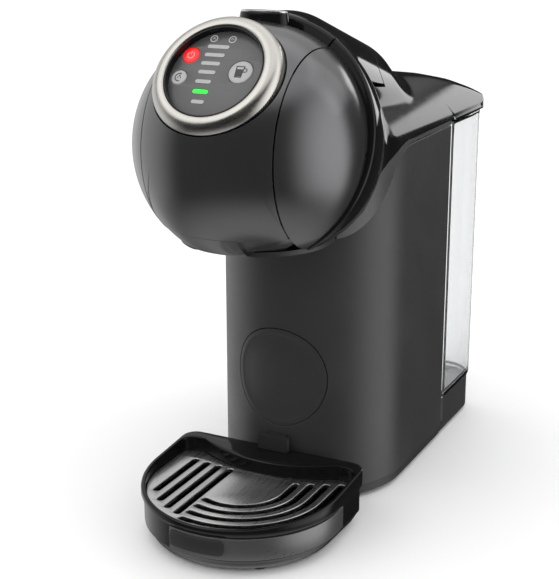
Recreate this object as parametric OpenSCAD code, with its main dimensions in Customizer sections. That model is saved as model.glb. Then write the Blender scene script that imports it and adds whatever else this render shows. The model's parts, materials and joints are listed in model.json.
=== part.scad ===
// Pod coffee machine: a ball-shaped brew head with a lifting handle and a selector ring, on a
// D-shaped column, with a clear water tank behind it and a round drip tray in front.
// Origin on the floor under the middle of the machine, -Y towards the user, +Z up, millimetres.

/* [Overall] */
// Depth from the front of the tray to the back of the tank lid
depth = 287; // [286:0.5:290]
// Height to the top of the badge on the brew head
height = 273; // [272:0.5:275]

/* [Brew head] */
// Radius of the black hood ball
head_r = 64.2; // [64:0.1:64.5]
// Radius of the face inside the hood's rim
face_r = 61; // [60.8:0.1:61.2]
// Wall of the head's shells
shell_t = 3; // [2.5:0.1:3.2]
// Width of the middle strip, which lifts with the handle
strip_w = 70.6; // [70:0.1:71]
// Height of the flat underside of the head
underside_z = 158; // [157:0.5:159]
// Lower edge of the lifting strip
strip_low_z = 168.7; // [168.5:0.1:169]

/* [Selector ring] */
// Outer radius of the ring
ring_r = 33; // [32:0.1:33.2]
// Bore of the ring
ring_bore_r = 25.4; // [25.3:0.05:25.5]
// Tilt of the ring's axis above the horizontal
ring_tilt = 41; // [40:0.5:42]

/* [Pod holder] */
// Radius of the recess for the pod's flange
pod_flange_r = 27.2; // [27:0.1:27.5]
// Radius of the well for the pod's cup
pod_well_r = 24; // [23.5:0.1:24.2]

/* [Column] */
// Radius of the column's round front
column_r = 53.5; // [53:0.1:53.8]
// Wall of the column
column_t = 2.5; // [2:0.1:3]
// Radius of the round service cap
cap_r = 28; // [24:0.5:29]

/* [Drip tray] */
// Outer radius of the tray
tray_r = 55.5; // [55.3:0.1:55.7]
// Width of one slot in the grid
slot_w = 4; // [3:0.1:4.2]

/* [Water tank] */
// Outer width of the tank
tank_w = 106; // [104:0.5:107]
// Wall of the tank
tank_t = 2.2; // [1.8:0.1:2.4]

/* [Hidden] */
$fn = 96;
eps = 0.01;
big = 400;

// Places along the depth are given as distances behind the tray's centre.
tray_y = tray_r - depth / 2;
function behind(d) = tray_y + d;

badge_rise = 0.3;
head_c = [0, behind(17), height - badge_rise - head_r];
face_c = [0, behind(13), 207];
rim_c = [0, behind(14), 208];
rim_tilt = 19;
rim_flange = 4;
slot_x = strip_w / 2 + 0.6;
wall_x = slot_x + 0.3;
wall_t = 2.2;
ridge_r = 36;
ridge_from = [0, behind(50), 234.3];
ridge_to = [0, behind(112), 215];
pivot = [0, behind(98), 249];
knuckle_r = 6;
knuckle_w = 16;
drum_r = 9;
ear_w = 3.6;
pin_r = 1.95;

ring_c = [0, behind(-28), 249];
ring_h = 13.2;
display_h = -4;
display_r = 24.6;
power_at = [-16.9, 9.9];
power_r = 4.3;
temperature_at = [-19.1, -2.8];
temperature_r = 4;
boost_at = [12.3, 2.3];
boost_r = 6.1;
button_gap = 0.25;
// Each level bar: its place across and up the display, and its width
level_rows = [[-3.9, 15.5, 11.6], [-4.4, 10.8, 10.7], [-4.9, 6.0, 10.1], [-5.2, 1.1, 9.1],
              [-5.3, -4.2, 8.4], [-4.4, -15.4, 6.8]];
active_row = [-4.9, -9.8, 8];
bar_h = 2;

column_y = behind(92);
column_back = behind(159.5);
floor_z = 3;
base_t = 5;
base_z = floor_z + base_t;
deck_z = 200;
deck_t = 2.5;
neck_w = 54.8;
neck_low = 203;
neck_rise = 26;
trim_y = behind(66);
cap_z = 73;

seat_y = behind(4);
pod_top = 194;
pod_low = 161;
plate_low = 195.6;

tank_front = behind(161.5);
tank_back = behind(229.5);
tank_z = 24;
tank_top = 199.7;
tank_corner = 20;
lid_low = 200.4;
lid_t = 2.2;
hinge_r = 3;
lid_pivot = [0, depth / 2 - hinge_r, lid_low + hinge_r];
lid_pin_r = 1.5;
valve_at = [0, behind(195)];
valve_r = 8;

tray_low = 2;
tray_lip = 26;
rear_wall = 36;
rim_slope = 0.075;
grid_z = 22.3;
grid_t = 2.2;
grid_r = 52.6;
grid_arc = 75.4;
pitch = 7.6;
wall_r = tray_r - 1.5;

// ---- helpers ----

function smooth(t) = let (u = min(max(t, 0), 1)) u * u * (3 - 2 * u);
// Height of the hood's lower edge and of the trim's lower edge, d behind the tray's centre
function hood_edge(d) = 158 + 43 * smooth((d + 15) / 105);
function trim_edge(d) = 158 + 40 * smooth((d - 28) / 67);
function arc(c, r, a0, a1, n) =
    [for (i = [0:n]) let (a = a0 + (a1 - a0) * i / n) [c.x + r * cos(a), c.y + r * sin(a)]];
function ellipse(a, b, n) = [for (i = [0:n - 1]) [a * cos(360 * i / n), b * sin(360 * i / n)]];

// A side view, drawn as [y, z], made w wide along X
module side(w, points) {
    rotate([90, 0, 90]) linear_extrude(w, center = true) polygon(points);
}

// Everything above the edge line of the hood or the trim
module above_hood_edge(gap = 0) {
    side(big, concat([for (d = [-110:7:170]) [behind(d), hood_edge(d) + gap]],
                     [[behind(170), big], [behind(-110), big]]));
}
module above_trim_edge(gap = 0) {
    side(big, concat([for (d = [-110:7:170]) [behind(d), trim_edge(d) + gap]],
                     [[behind(170), big], [behind(-110), big]]));
}

// The half of space in front of the hood's rim plane, moved back by `back`
module front_of_rim(back = 0) {
    translate(rim_c) rotate([-rim_tilt, 0, 0]) translate([-big / 2, -big + back, -big / 2])
        cube(big);
}

// The middle slab, 2 x half wide
module middle(half) {
    translate([-half, -big / 2, 0]) cube([2 * half, big, big]);
}

// Round bar with ball ends from p1 to p2
module capsule(p1, p2, r) {
    l = norm(p2 - p1);
    translate(p1) rotate([-atan2(p2.y - p1.y, p2.z - p1.z), 0, 0])
        rotate_extrude() polygon(concat(arc([0, 0], r, -90, 0, 9), arc([0, l], r, 0, 90, 9)));
}

// Cross-section of the neck and the lid, inset by t
module neck_profile(t) {
    w = neck_w - t;
    polygon(concat([[w, 100], [w, neck_low - t]],
                   [for (i = [8:-1:-8]) let (u = i / 9) [w * u, neck_low - t + neck_rise * (1 - pow(abs(u), 3))]],
                   [[-w, neck_low - t], [-w, 100]]));
}

// Ball and neck of the head, inset by t
module head_solid(t = 0) {
    translate(head_c) sphere(head_r - t);
    capsule(ridge_from, ridge_to, ridge_r - t);
    translate([0, behind(170), 0]) rotate([90, 0, 0]) linear_extrude(118) neck_profile(t);
}

// Outer skin of the head behind the rim, with the flange that backs the face
module hood_skin() {
    difference() {
        head_solid();
        front_of_rim();
        difference() {
            head_solid(shell_t);
            difference() {
                front_of_rim(rim_flange);
                translate(face_c) sphere(face_r - rim_flange);
            }
        }
        translate(face_c) sphere(face_r - rim_flange);
        translate([-big / 2, -big / 2, 0]) cube([big, big, underside_z + 2.5]);
    }
}

// Skin of the face, in front of the rim
module face_skin(low) {
    difference() {
        intersection() {
            translate(face_c) sphere(face_r);
            front_of_rim();
        }
        translate(face_c) sphere(face_r - shell_t);
        translate([-big / 2, -big / 2, 0]) cube([big, big, low]);
    }
}

// Moves its children from the ring's own frame, with the ring's top face at height 0
module on_ring() {
    translate(ring_c) rotate([90 - ring_tilt, 0, 0]) children();
}

// D-shaped plan of the column with its round front centred at y
module column_plan(y, t) {
    r = column_r - t;
    translate([0, y]) circle(r);
    translate([-r, y]) square([2 * r, column_back - y]);
}

// Rounded rectangle with its own radius at the back and at the front
module tank_plan(t) {
    w = tank_w / 2 - t;
    rb = tank_corner - t;
    rf = 5;
    polygon(concat(arc([w - rb, tank_back - t - rb], rb, 0, 90, 8),
                   arc([rb - w, tank_back - t - rb], rb, 90, 180, 8),
                   arc([rf - w, tank_front + t + rf], rf, 180, 270, 4),
                   arc([w - rf, tank_front + t + rf], rf, 270, 360, 4)));
}

// Lid plan, inset by t: flat behind the head's ridge, slanted to the sides, rounded at the back
module lid_plan(t) {
    w = neck_w - t;
    back = depth / 2 - t;
    rb = tank_corner - t;
    front = [[49.9 - 0.67 * t, 160 + t], [41 - 0.67 * t, 139 + t]];
    polygon(concat([[-w, behind(161 + t)]], [for (p = front) [-p.x, behind(p.y)]],
                   [for (i = [1:-1:0]) [front[i].x, behind(front[i].y)]], [[w, behind(161 + t)]],
                   arc([w - rb, back - rb], rb, 0, 90, 8), arc([rb - w, back - rb], rb, 90, 180, 8)));
}

// Height of the lid's ridge from front to back, lowered by t
module lid_dome(t) {
    points = [[90, 229], [139, 229], [155, 228.5], [175, 225], [195, 220], [213, 214], [223, 210],
              [228, 207.5]];
    intersection() {
        side(big, concat([for (p = points) [behind(p.x), p.y - t]],
                         [[lid_pivot.y + hinge_r * cos(45) - t, lid_pivot.z + hinge_r * sin(45)],
                          [lid_pivot.y + hinge_r - t, lid_pivot.z], [lid_pivot.y + hinge_r - t, 150],
                          [behind(90), 150]]));
        translate([0, behind(240), 0]) rotate([90, 0, 0]) linear_extrude(160) neck_profile(t);
    }
}

// Tray plan: round front of radius r, straight sides and rounded corners at the back
module tray_plan(r, back, c) {
    translate([0, tray_y]) {
        circle(r);
        translate([-r, 0]) square([2 * r, back - c]);
        translate([c - r, 0]) square([2 * (r - c), back]);
        for (s = [-1, 1]) translate([s * (r - c), back - c]) circle(c);
    }
}

// Everything above the tray's sloping rim
module above_tray_rim() {
    side(big, [[behind(-80), tray_lip - 25 * rim_slope], [behind(60), tray_lip + 115 * rim_slope],
               [behind(60), 90], [behind(-80), 90]]);
}

// A straight run of hose between points, with rounded corners
module hose(points, r) {
    for (i = [0:len(points) - 2]) {
        a = points[i];
        d = points[i + 1] - a;
        translate(a) rotate([0, acos(d.z / norm(d)), atan2(d.y, d.x)]) cylinder(h = norm(d), r = r);
        if (i > 0) translate(a) sphere(r * 1.04);
    }
}

// ---- base, column and neck ----

module base_plate() {
    color("#2b2b2d") difference() {
        translate([0, 0, floor_z]) linear_extrude(base_t) {
            column_plan(column_y, 1);
            translate([-tank_w / 2 + 1, column_y]) square([tank_w - 2, tank_front + 9 - column_y]);
            tank_plan(1);
        }
        base_screw_places() translate([0, 0, floor_z - eps]) cylinder(h = 2, r = 3.1);
    }
}
module base_screw_places() {
    for (x = [-38, 38], y = [behind(80), behind(212)]) translate([x, y, 0]) children();
}
module base_screws() {
    color("silver") base_screw_places() translate([0, 0, floor_z + 0.2]) cylinder(h = 1.79, r = 2.9);
}
module rubber_feet() {
    color("#151515") for (x = [-34, 34], y = [behind(62), behind(200)])
        translate([x, y, 0]) cylinder(h = floor_z, r = 6);
}
module column_shell() {
    color("#47474a") difference() {
        translate([0, 0, base_z]) linear_extrude(deck_z - base_z) column_plan(column_y, 0);
        translate([0, 0, base_z - 1]) linear_extrude(deck_z) {
            column_plan(column_y, column_t);
            translate([column_t - column_r, column_y]) square([2 * (column_r - column_t), 90]);
        }
        above_trim_edge();
        cap_hole(cap_r + 0.3);
    }
}
module cap_hole(r) {
    translate([0, column_y, cap_z]) rotate([90, 0, 0]) cylinder(h = 90, r = r);
}
module service_cap() {
    color("#454548") intersection() {
        translate([0, 0, 20]) linear_extrude(110) difference() {
            column_plan(column_y, 0);
            column_plan(column_y, column_t);
        }
        cap_hole(cap_r);
    }
}
module rear_panel() {
    color("#2f2f31") translate([column_t - column_r, column_back - column_t, base_z])
        cube([2 * (column_r - column_t), column_t, deck_z - deck_t - base_z - 0.5]);
}
module neck_trim() {
    color("#515154") difference() {
        translate([0, 0, underside_z]) linear_extrude(deck_z - underside_z) column_plan(trim_y, 0);
        translate([0, 0, 100]) linear_extrude(deck_z - deck_t - 100) column_plan(trim_y, column_t);
        above_hood_edge();
        difference() {
            translate([-big / 2, -big / 2, 0]) cube(big);
            above_trim_edge(0.3);
        }
        translate([-wall_x - wall_t - 0.5, -big / 2, 0])
            cube([2 * (wall_x + wall_t + 0.5), big / 2 + behind(64), big]);
    }
}
module hood_shell() {
    color("#0c0c0d") difference() {
        intersection() {
            hood_skin();
            above_hood_edge(0.3);
            translate([-big / 2, -big / 2, 0]) cube([big, big / 2 + behind(160.6), big]);
        }
        difference() {
            middle(slot_x);
            translate([-big / 2, pivot.y + 0.5, 0]) cube(big);
        }
        translate([-slot_x, pivot.y, pivot.z]) rotate([0, 90, 0])
            cylinder(h = 2 * slot_x, r = drum_r + 0.4);
        translate([0, 0, deck_z + 0.1]) linear_extrude(60) lid_plan(-0.5);
    }
}
module dome(side) {
    color("#2a2a2c") difference() {
        face_skin(underside_z + 2.5);
        if (side > 0) translate([-big + slot_x, -big / 2, 0]) cube(big);
        else translate([-slot_x, -big / 2, 0]) cube(big);
    }
}
module dome_left() { dome(-1); }
module dome_right() { dome(1); }
module head_underside() {
    color("#1c1c1e") difference() {
        translate([0, head_c.y, underside_z]) cylinder(h = 2.5, r = 40);
        translate([-34.4, -big / 2, 0]) cube([68.8, big / 2 + behind(-19), big]);
        translate([-9, -big / 2, 0]) cube([18, big / 2 + seat_y, big]);
        translate([0, seat_y, 0]) cylinder(h = big, r = 9);
        translate([0, 0, 100]) linear_extrude(100) column_plan(column_y, -0.2);
    }
}

// ---- head frame and hinge ----

module head_frame() {
    color("#38383b") {
        for (s = [-1, 1]) {
            translate([s * (wall_x + wall_t / 2), 0, 0]) difference() {
                union() {
                    translate([0, face_c.y, face_c.z]) rotate([0, 90, 0])
                        cylinder(h = wall_t, r = 41.6, center = true);
                    translate([-wall_t / 2, behind(3.6), 163.2]) cube([wall_t, 26.4, 12]);
                }
                translate([-wall_t, -big / 2, 0]) cube([2 * wall_t, big, 163.2]);
            }
            // Rail that the pod holder slides on
            translate([s > 0 ? 32.4 : -wall_x - 1, behind(-14), 181]) cube([wall_x - 31.4, 56, 2.6]);
            // Arm from the bridge to the deck, with the hinge's ear standing on it
            translate([s * (knuckle_w / 2 + 0.4 + ear_w / 2) - ear_w / 2, behind(51), deck_z])
                cube([ear_w, 69, 6]);
            difference() {
                ear_x = s * (knuckle_w / 2 + 0.4 + ear_w / 2) - ear_w / 2;
                union() {
                    translate([ear_x, pivot.y, pivot.z]) rotate([0, 90, 0]) cylinder(h = ear_w, r = 3.4);
                    translate([ear_x, pivot.y - 3, deck_z + 4]) cube([ear_w, 6, pivot.z - deck_z - 4]);
                }
                translate([ear_x - 1, pivot.y, pivot.z]) rotate([0, 90, 0])
                    cylinder(h = ear_w + 2, r = pin_r);
            }
        }
        // Bridge behind the brew chamber
        translate([-wall_x - 1, behind(48), 190]) cube([2 * wall_x + 2, 4, 36]);
    }
}
module handle_pin() {
    w = knuckle_w + 2 * ear_w + 0.8;
    color("silver") translate([-w / 2, pivot.y, pivot.z]) rotate([0, 90, 0]) cylinder(h = w, r = pin_r);
}

// ---- lifting handle ----

module handle_strip() {
    color("#262628") difference() {
        intersection() {
            face_skin(strip_low_z);
            middle(strip_w / 2);
        }
        on_ring() translate([0, 0, -40]) cylinder(h = 80, r = ring_r + 0.6);
    }
}
module handle_top() {
    color("#0b0b0c") difference() {
        union() {
            intersection() {
                hood_skin();
                middle(strip_w / 2);
                union() {
                    translate([-big / 2, pivot.y - big, 215]) cube(big);
                    // Round rear end about the pin, so that it turns clear of the hood
                    translate([-big / 2, pivot.y, pivot.z]) rotate([0, 90, 0])
                        cylinder(h = big, r = drum_r);
                }
            }
            // Knuckle of the hinge
            intersection() {
                head_solid();
                translate([-knuckle_w / 2, pivot.y, pivot.z]) rotate([0, 90, 0])
                    cylinder(h = knuckle_w, r = knuckle_r);
            }
        }
        translate([-40, pivot.y, pivot.z]) rotate([0, 90, 0]) cylinder(h = 80, r = pin_r + 0.06);
        for (s = [-1, 1]) translate([s * (knuckle_w / 2 + 0.4 + ear_w / 2), pivot.y, pivot.z])
            rotate([0, 90, 0]) cylinder(h = ear_w + 0.8, r = 4.2, center = true);
        top_badge();
        on_ring() translate([0, 0, -40]) cylinder(h = 80, r = ring_r + 0.6);
    }
}
module top_badge() {
    color("#1a1a1b") translate([0, behind(25), height - 1]) rotate([-6, 0, 0])
        translate([0, 0, -1]) linear_extrude(1.5) polygon(ellipse(12.5, 7.5, 48));
}

// ---- display and selector ring ----

module selector_ring() {
    color("#b9b7b0") on_ring() rotate_extrude() polygon([
        [ring_bore_r, -ring_h], [ring_r - 1.2, -ring_h], [ring_r, -ring_h + 1.2], [ring_r, -4.2],
        [ring_r - 1.6, -1.4], [ring_r - 3.6, -0.2], [ring_r - 4.2, 0], [ring_bore_r + 0.6, 0],
        [ring_bore_r, -0.6]]);
}
module ring_seat() {
    hub = ring_bore_r - 0.3;
    color("#101011") difference() {
        union() {
            on_ring() difference() {
                union() {
                    translate([0, 0, -16]) cylinder(h = 15.5, r = hub);
                    translate([0, 0, -16]) cylinder(h = 2.4, r = ring_r + 0.5);
                }
                translate([0, 0, display_h - 2]) cylinder(h = 20, r = display_r);
                translate([0, 0, -13.4]) cylinder(h = 20, r = 22);
                for (b = [[power_at, power_r], [temperature_at, temperature_r]])
                    translate([b[0].x, b[0].y, -13.4]) cylinder(h = 20, r = b[1] + 0.5);
            }
            // Collar that joins the seat to the inside of the strip
            intersection() {
                on_ring() translate([0, 0, -16]) difference() {
                    cylinder(h = 16, r = ring_r + 2);
                    translate([0, 0, -1]) cylinder(h = 18, r = ring_r + 0.4);
                }
                translate(face_c) sphere(face_r - shell_t - eps);
                middle(strip_w / 2);
            }
        }
    }
}
module button_place(at, h) {
    on_ring() translate([at.x, at.y, h]) children();
}
module display_disc() {
    color("#4a4a4d") difference() {
        on_ring() translate([0, 0, display_h - 2]) cylinder(h = 2, r = display_r);
        for (b = [[power_at, power_r], [temperature_at, temperature_r], [boost_at, boost_r]])
            button_place(b[0], display_h - 5) cylinder(h = 20, r = b[1] + button_gap);
    }
}
module bar(row) {
    reach = (row[2] - bar_h) / 2;
    button_place([row[0], row[1]], display_h) {
        translate([-reach, -bar_h / 2, 0]) cube([2 * reach, bar_h, 0.2]);
        for (s = [-1, 1]) translate([s * reach, 0, 0]) cylinder(h = 0.2, r = bar_h / 2);
    }
}
module level_bars() {
    color("#d8d8d8") for (row = level_rows) bar(row);
}
module active_bar() {
    color("lime") bar(active_row);
}
module status_icons() {
    color("#d8d8d8") for (x = [-7.9, 2.1]) button_place([x, 20], display_h) cylinder(h = 0.2, r = 2);
}
module button(at, r) {
    button_place(at, display_h - 2) cylinder(h = 2.2, r = r);
    button_place(at, display_h - 8.4) cylinder(h = 6.5, r = 2);
}
module power_button() { color("red") button(power_at, power_r); }
module temperature_button() { color("#c8c8c8") button(temperature_at, temperature_r); }
module boost_button() { color("#c8c8c8") button(boost_at, boost_r); }

// ---- brew chamber ----

module injection_plate() {
    color("#6b6b70") translate([0, seat_y, plate_low]) {
        difference() {
            union() {
                cylinder(h = 6, r = 26.5);
                translate([0, 0, 5]) cylinder(h = 9, r = 8);
            }
            translate([0, 0, -1]) cylinder(h = 8, r = 1.2);
            translate([0, 0, -eps]) difference() {
                cylinder(h = 1.4, r = 25);
                translate([0, 0, -1]) cylinder(h = 4, r = 21);
            }
        }
    }
}
module piercing_needle() {
    color("silver") translate([0, seat_y, plate_low]) rotate_extrude()
        polygon([[0, -6.5], [1.2, -3.5], [1.2, 6.9], [0, 6.9]]);
}
module pod_gasket() {
    color("#7a2d20") translate([0, seat_y, plate_low - 0.8]) difference() {
        cylinder(h = 2.15, r = 24.9);
        translate([0, 0, -1]) cylinder(h = 4, r = 21.1);
    }
}
module pod_holder() {
    color("#1b1b1d") difference() {
        union() {
            translate([0, seat_y, pod_low]) cylinder(h = pod_top - pod_low, r = pod_well_r + 2.4);
            translate([0, seat_y, pod_top - 5]) cylinder(h = 5, r = 30.5);
            for (s = [-1, 1]) translate([s > 0 ? 20 : -34.2, seat_y - 12, 184]) cube([14.2, 48, 4]);
            translate([-20, seat_y + 18, 184]) cube([40, 18, 4]);
        }
        translate([0, seat_y, pod_top - 1.6]) cylinder(h = 4, r = pod_flange_r);
        translate([0, seat_y, pod_low + 3]) cylinder(h = 60, r = pod_well_r);
        translate([0, seat_y, pod_low - 1]) cylinder(h = 9, r = 8);
    }
}
module pod_holder_front() {
    grip_x = 13.5;
    grip_depth = 2;
    front_w = 34;
    color("#202022") difference() {
        union() {
            // Front that carries on the face
            intersection() {
                difference() {
                    translate(face_c) sphere(face_r - 0.4);
                    translate(face_c) sphere(face_r - 4.4);
                }
                translate([-front_w, behind(-60), underside_z + 0.4]) cube([2 * front_w, 50, 9.95]);
            }
            // Web to the pod holder
            intersection() {
                translate([-8, behind(-50), pod_low]) cube([16, 40, 6.9]);
                translate(face_c) sphere(face_r - 3.5);
            }
        }
        // Finger recess beside it
        difference() {
            translate([grip_x, behind(-60), underside_z - 1]) cube([front_w, 50, 12]);
            translate(face_c) sphere(face_r - 0.4 - grip_depth);
        }
        translate([0, seat_y, 0]) cylinder(h = big, r = pod_well_r + 2.4);
        // Room for the seat's floor
        translate([-9, behind(-20.5), 0]) cube([18, 40, pod_low]);
        translate([-40, behind(-19.5), 0]) cube([80, 40, pod_low]);
    }
}

module water_tank() {
    color("#dfe8ee", 0.35) {
        difference() {
            translate([0, 0, tank_z]) linear_extrude(tank_top - tank_z) tank_plan(0);
            translate([0, 0, tank_z + 3]) linear_extrude(tank_top) tank_plan(tank_t);
            translate([valve_at.x, valve_at.y, 0]) cylinder(h = 60, r = valve_r);
        }
        for (s = [-1, 1]) translate([s * 24.5, 0, 0]) difference() {
            union() {
                translate([-2.4, tank_back - tank_t, tank_top - 2]) cube([4.8, tank_t, 5]);
                translate([-2.4, lid_pivot.y, lid_pivot.z]) rotate([0, 90, 0])
                    cylinder(h = 4.8, r = hinge_r - 0.2);
            }
            translate([-4, lid_pivot.y, lid_pivot.z]) rotate([0, 90, 0]) cylinder(h = 8, r = lid_pin_r);
        }
    }
}
module lid_hinge_pin() {
    color("silver") translate([-26.9, lid_pivot.y, lid_pivot.z]) rotate([0, 90, 0])
        cylinder(h = 53.8, r = lid_pin_r);
}
module tank_valve() {
    color("#3a3a3c") translate([valve_at.x, valve_at.y, 0]) difference() {
        union() {
            translate([0, 0, 16]) cylinder(h = 14, r = valve_r - 1.5);
            translate([0, 0, 20]) cylinder(h = 9, r = valve_r);
            translate([0, 0, tank_z + 3]) cylinder(h = 4, r = valve_r + 3);
        }
        translate([0, 0, 15]) cylinder(h = 10, r = 3);
    }
}
module valve_seal() {
    color("#8a2f22") translate([valve_at.x, valve_at.y, 18]) difference() {
        cylinder(h = 2, r = valve_r);
        translate([0, 0, -1]) cylinder(h = 4, r = valve_r - 1.5);
    }
}
module tank_lid() {
    color("#0d0d0e") difference() {
        intersection() {
            translate([0, 0, lid_low]) linear_extrude(60) lid_plan(0);
            union() {
                lid_dome(0);
                capsule(ridge_from, ridge_to, ridge_r);
                translate([-20, lid_pivot.y, lid_pivot.z]) rotate([0, 90, 0]) cylinder(h = 40, r = hinge_r);
            }
        }
        // Hollow under the dome, with the hinge's edge left whole
        difference() {
            intersection() {
                translate([0, 0, lid_low - 1]) linear_extrude(60) lid_plan(lid_t);
                union() {
                    lid_dome(lid_t);
                    capsule(ridge_from, ridge_to, ridge_r - lid_t);
                }
            }
            translate([-big / 2, lid_pivot.y - 5, 0]) cube(big);
        }
        // Round the lower back edge to the hinge's own radius
        difference() {
            translate([-big / 2, lid_pivot.y, 0]) cube([big, 20, lid_pivot.z]);
            translate([-big / 2, lid_pivot.y, lid_pivot.z]) rotate([0, 90, 0])
                cylinder(h = big, r = hinge_r);
        }
        translate([-30, lid_pivot.y, lid_pivot.z]) rotate([0, 90, 0])
            cylinder(h = 60, r = lid_pin_r + 0.06);
        for (s = [-1, 1]) translate([s * 24.5 - 2.8, lid_pivot.y - 4.2, 0]) cube([5.6, 20, big]);
    }
}

// ---- dock, water path and electronics ----

module tank_dock() {
    color("#2c2c2e") difference() {
        translate([0, 0, base_z]) linear_extrude(tank_z - 0.3 - base_z) tank_plan(1);
        translate([valve_at.x, valve_at.y, base_z + 3]) cylinder(h = 40, r = valve_r + 0.6);
        translate([-35, tank_back + 1, 16]) rotate([90, 0, 0]) cylinder(h = 12, r = 3.6);
    }
}
module dock_seal() {
    color("#8a2f22") translate([valve_at.x, valve_at.y, base_z + 3]) difference() {
        cylinder(h = 2.4, r = valve_r + 0.6);
        translate([0, 0, -1]) cylinder(h = 5, r = 4);
    }
}
module cable_gland() {
    color("#141415") translate([-35, tank_back - 9, 16]) rotate([-90, 0, 0]) difference() {
        union() {
            cylinder(h = 9, r = 3.6);
            translate([0, 0, 8]) cylinder(h = 2.8, r = 5.6);
        }
        translate([0, 0, 2]) cylinder(h = 12, r = 2.6);
    }
}
module pump() {
    color("#8b8f94") translate([-22, behind(112), 0]) {
        translate([0, 0, 44]) cylinder(h = 44, r = 17);
        translate([0, 0, 88]) cylinder(h = 14, r = 7);
        translate([0, 0, 34]) cylinder(h = 10, r = 6);
    }
}
module pump_mounts() {
    color("#161616") translate([-22, behind(112), 0]) {
        translate([0, 0, base_z]) difference() {
            cylinder(h = 36, r = 19);
            translate([0, 0, 4]) cylinder(h = 40, r = 15);
        }
    }
}
module heater() {
    color("#b8b4ab") translate([12, behind(100), 104]) difference() {
        cylinder(h = 62, r = 21);
        for (a = [0:60:300]) rotate(a) translate([21.5, 0, -1]) cylinder(h = 70, r = 2.5);
    }
}
module flow_meter() {
    color("#dcdcd4") translate([26, behind(136), 30]) {
        cylinder(h = 14, r = 11);
        translate([0, 0, -22]) cylinder(h = 22, r = 3.5);
    }
}
module water_hoses() {
    color("#c9ccce") {
        hose([[26, behind(136), 44], [26, behind(136), 98], [-22, behind(136), 98],
              [-22, behind(136), 108], [-22, behind(112), 108], [-22, behind(112), 102]], 2.4);
        hose([[12, behind(100), 166], [12, behind(100), 184], [12, behind(76), 184]], 2.4);
    }
}
module control_board() {
    color("#1f5b34") {
        translate([-48.5, behind(88), 112]) cube([1.6, 52, 70]);
        for (y = [96, 112, 128]) translate([-46.9, behind(y), 130]) cube([9, 8, 14]);
    }
}

// ---- drip tray ----

module tray_rail() {
    color("#2a2a2c") difference() {
        translate([0, 0, base_z]) linear_extrude(32) {
            translate([-9, behind(32)]) square([18, 3]);
            translate([-5, behind(34)]) square([10, 7]);
        }
        linear_extrude(80) column_plan(column_y, 0);
    }
}
module drip_tray() {
    color("#0e0e0f") difference() {
        union() {
            translate([0, 0, 8]) linear_extrude(30) tray_plan(wall_r, rear_wall, 8);
            translate([0, tray_y, 0]) rotate_extrude()
                polygon([[0, tray_low], [48, tray_low], [50, 4], [52.5, 8 + eps], [0, 8 + eps]]);
            translate([0, tray_y, 0]) rotate_extrude()
                polygon([[40, 22], [wall_r, 22], [tray_r, 24], [tray_r, 36], [40, 36]]);
        }
        above_tray_rim();
        // Grid recess and the bowl under it
        translate([0, 0, grid_z - 0.1]) linear_extrude(40) difference() {
            tray_plan(grid_r + 0.4, 29, 7);
            translate([0, column_y]) circle(grid_arc - 0.4);
        }
        translate([0, 0, 5]) linear_extrude(40) difference() {
            tray_plan(grid_r - 3, 24, 7);
            translate([0, column_y]) circle(grid_arc + 3);
        }
        // Room for the band, the column and its rail
        translate([0, tray_y, 9]) band_ring(wall_r - 0.8, tray_r + 1, 12.2, -98, 98);
        translate([0, column_y, -1]) cylinder(h = 60, r = column_r + 0.4);
        translate([-9.4, behind(31.6), -1]) cube([18.8, 3.8, 60]);
        translate([-5.4, behind(34), -1]) cube([10.8, 9, 60]);
    }
}
// Part of a ring round the tray's front, from angle a0 to a1 counted from the front
module band_ring(r0, r1, h, a0, a1) {
    rotate(a0 - 90) rotate_extrude(angle = a1 - a0)
        translate([r0, 0]) square([r1 - r0, h]);
}
module tray_band() {
    color("#8f8f90") translate([0, tray_y, 9]) band_ring(wall_r - 0.8, wall_r + 0.6, 12.2, -17, 98);
}
module tray_plate() {
    color("#2d2d2f") translate([0, tray_y, 11.5]) band_ring(wall_r + 0.6, tray_r, 8.5, -16.5, 16.5);
}
module tray_feet() {
    color("#151515") for (x = [-26, 26], y = [behind(-34), behind(12)])
        translate([x, y, 0]) cylinder(h = tray_low, r = 4);
}
module drip_grid() {
    color("#9c9c9a") difference() {
        translate([0, 0, grid_z]) linear_extrude(grid_t) difference() {
            tray_plan(grid_r, 28.6, 6.6);
            translate([0, column_y]) circle(grid_arc);
        }
        translate([0, tray_y, grid_z - 1]) {
            // Straight slots on one side
            for (i = [0:3]) {
                x = -16.5 - i * 7.8;
                y0 = -sqrt(pow(grid_r - 4, 2) - x * x) + 3;
                y1 = 13 + 1.1 * i;
                translate([x - slot_w / 2, y0, 0]) cube([slot_w, y1 - y0, 10]);
                for (y = [y0, y1]) translate([x, y, 0]) cylinder(h = 10, r = slot_w / 2);
            }
            // Curved slots on the other side, each with a straight tail
            for (i = [0:3]) {
                r = 25.5 + i * pitch;
                start = -90 - 560 / r;
                tail = 12 + 3.2 * i;
                translate([-1.5, 0, 0]) {
                    rotate(start) rotate_extrude(angle = -start)
                        translate([r - slot_w / 2, 0]) square([slot_w, 10]);
                    rotate(start) translate([r, 0, 0]) cylinder(h = 10, r = slot_w / 2);
                    translate([r - slot_w / 2, 0, 0]) cube([slot_w, tail, 10]);
                    translate([r, tail, 0]) cylinder(h = 10, r = slot_w / 2);
                }
            }
        }
    }
}

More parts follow.
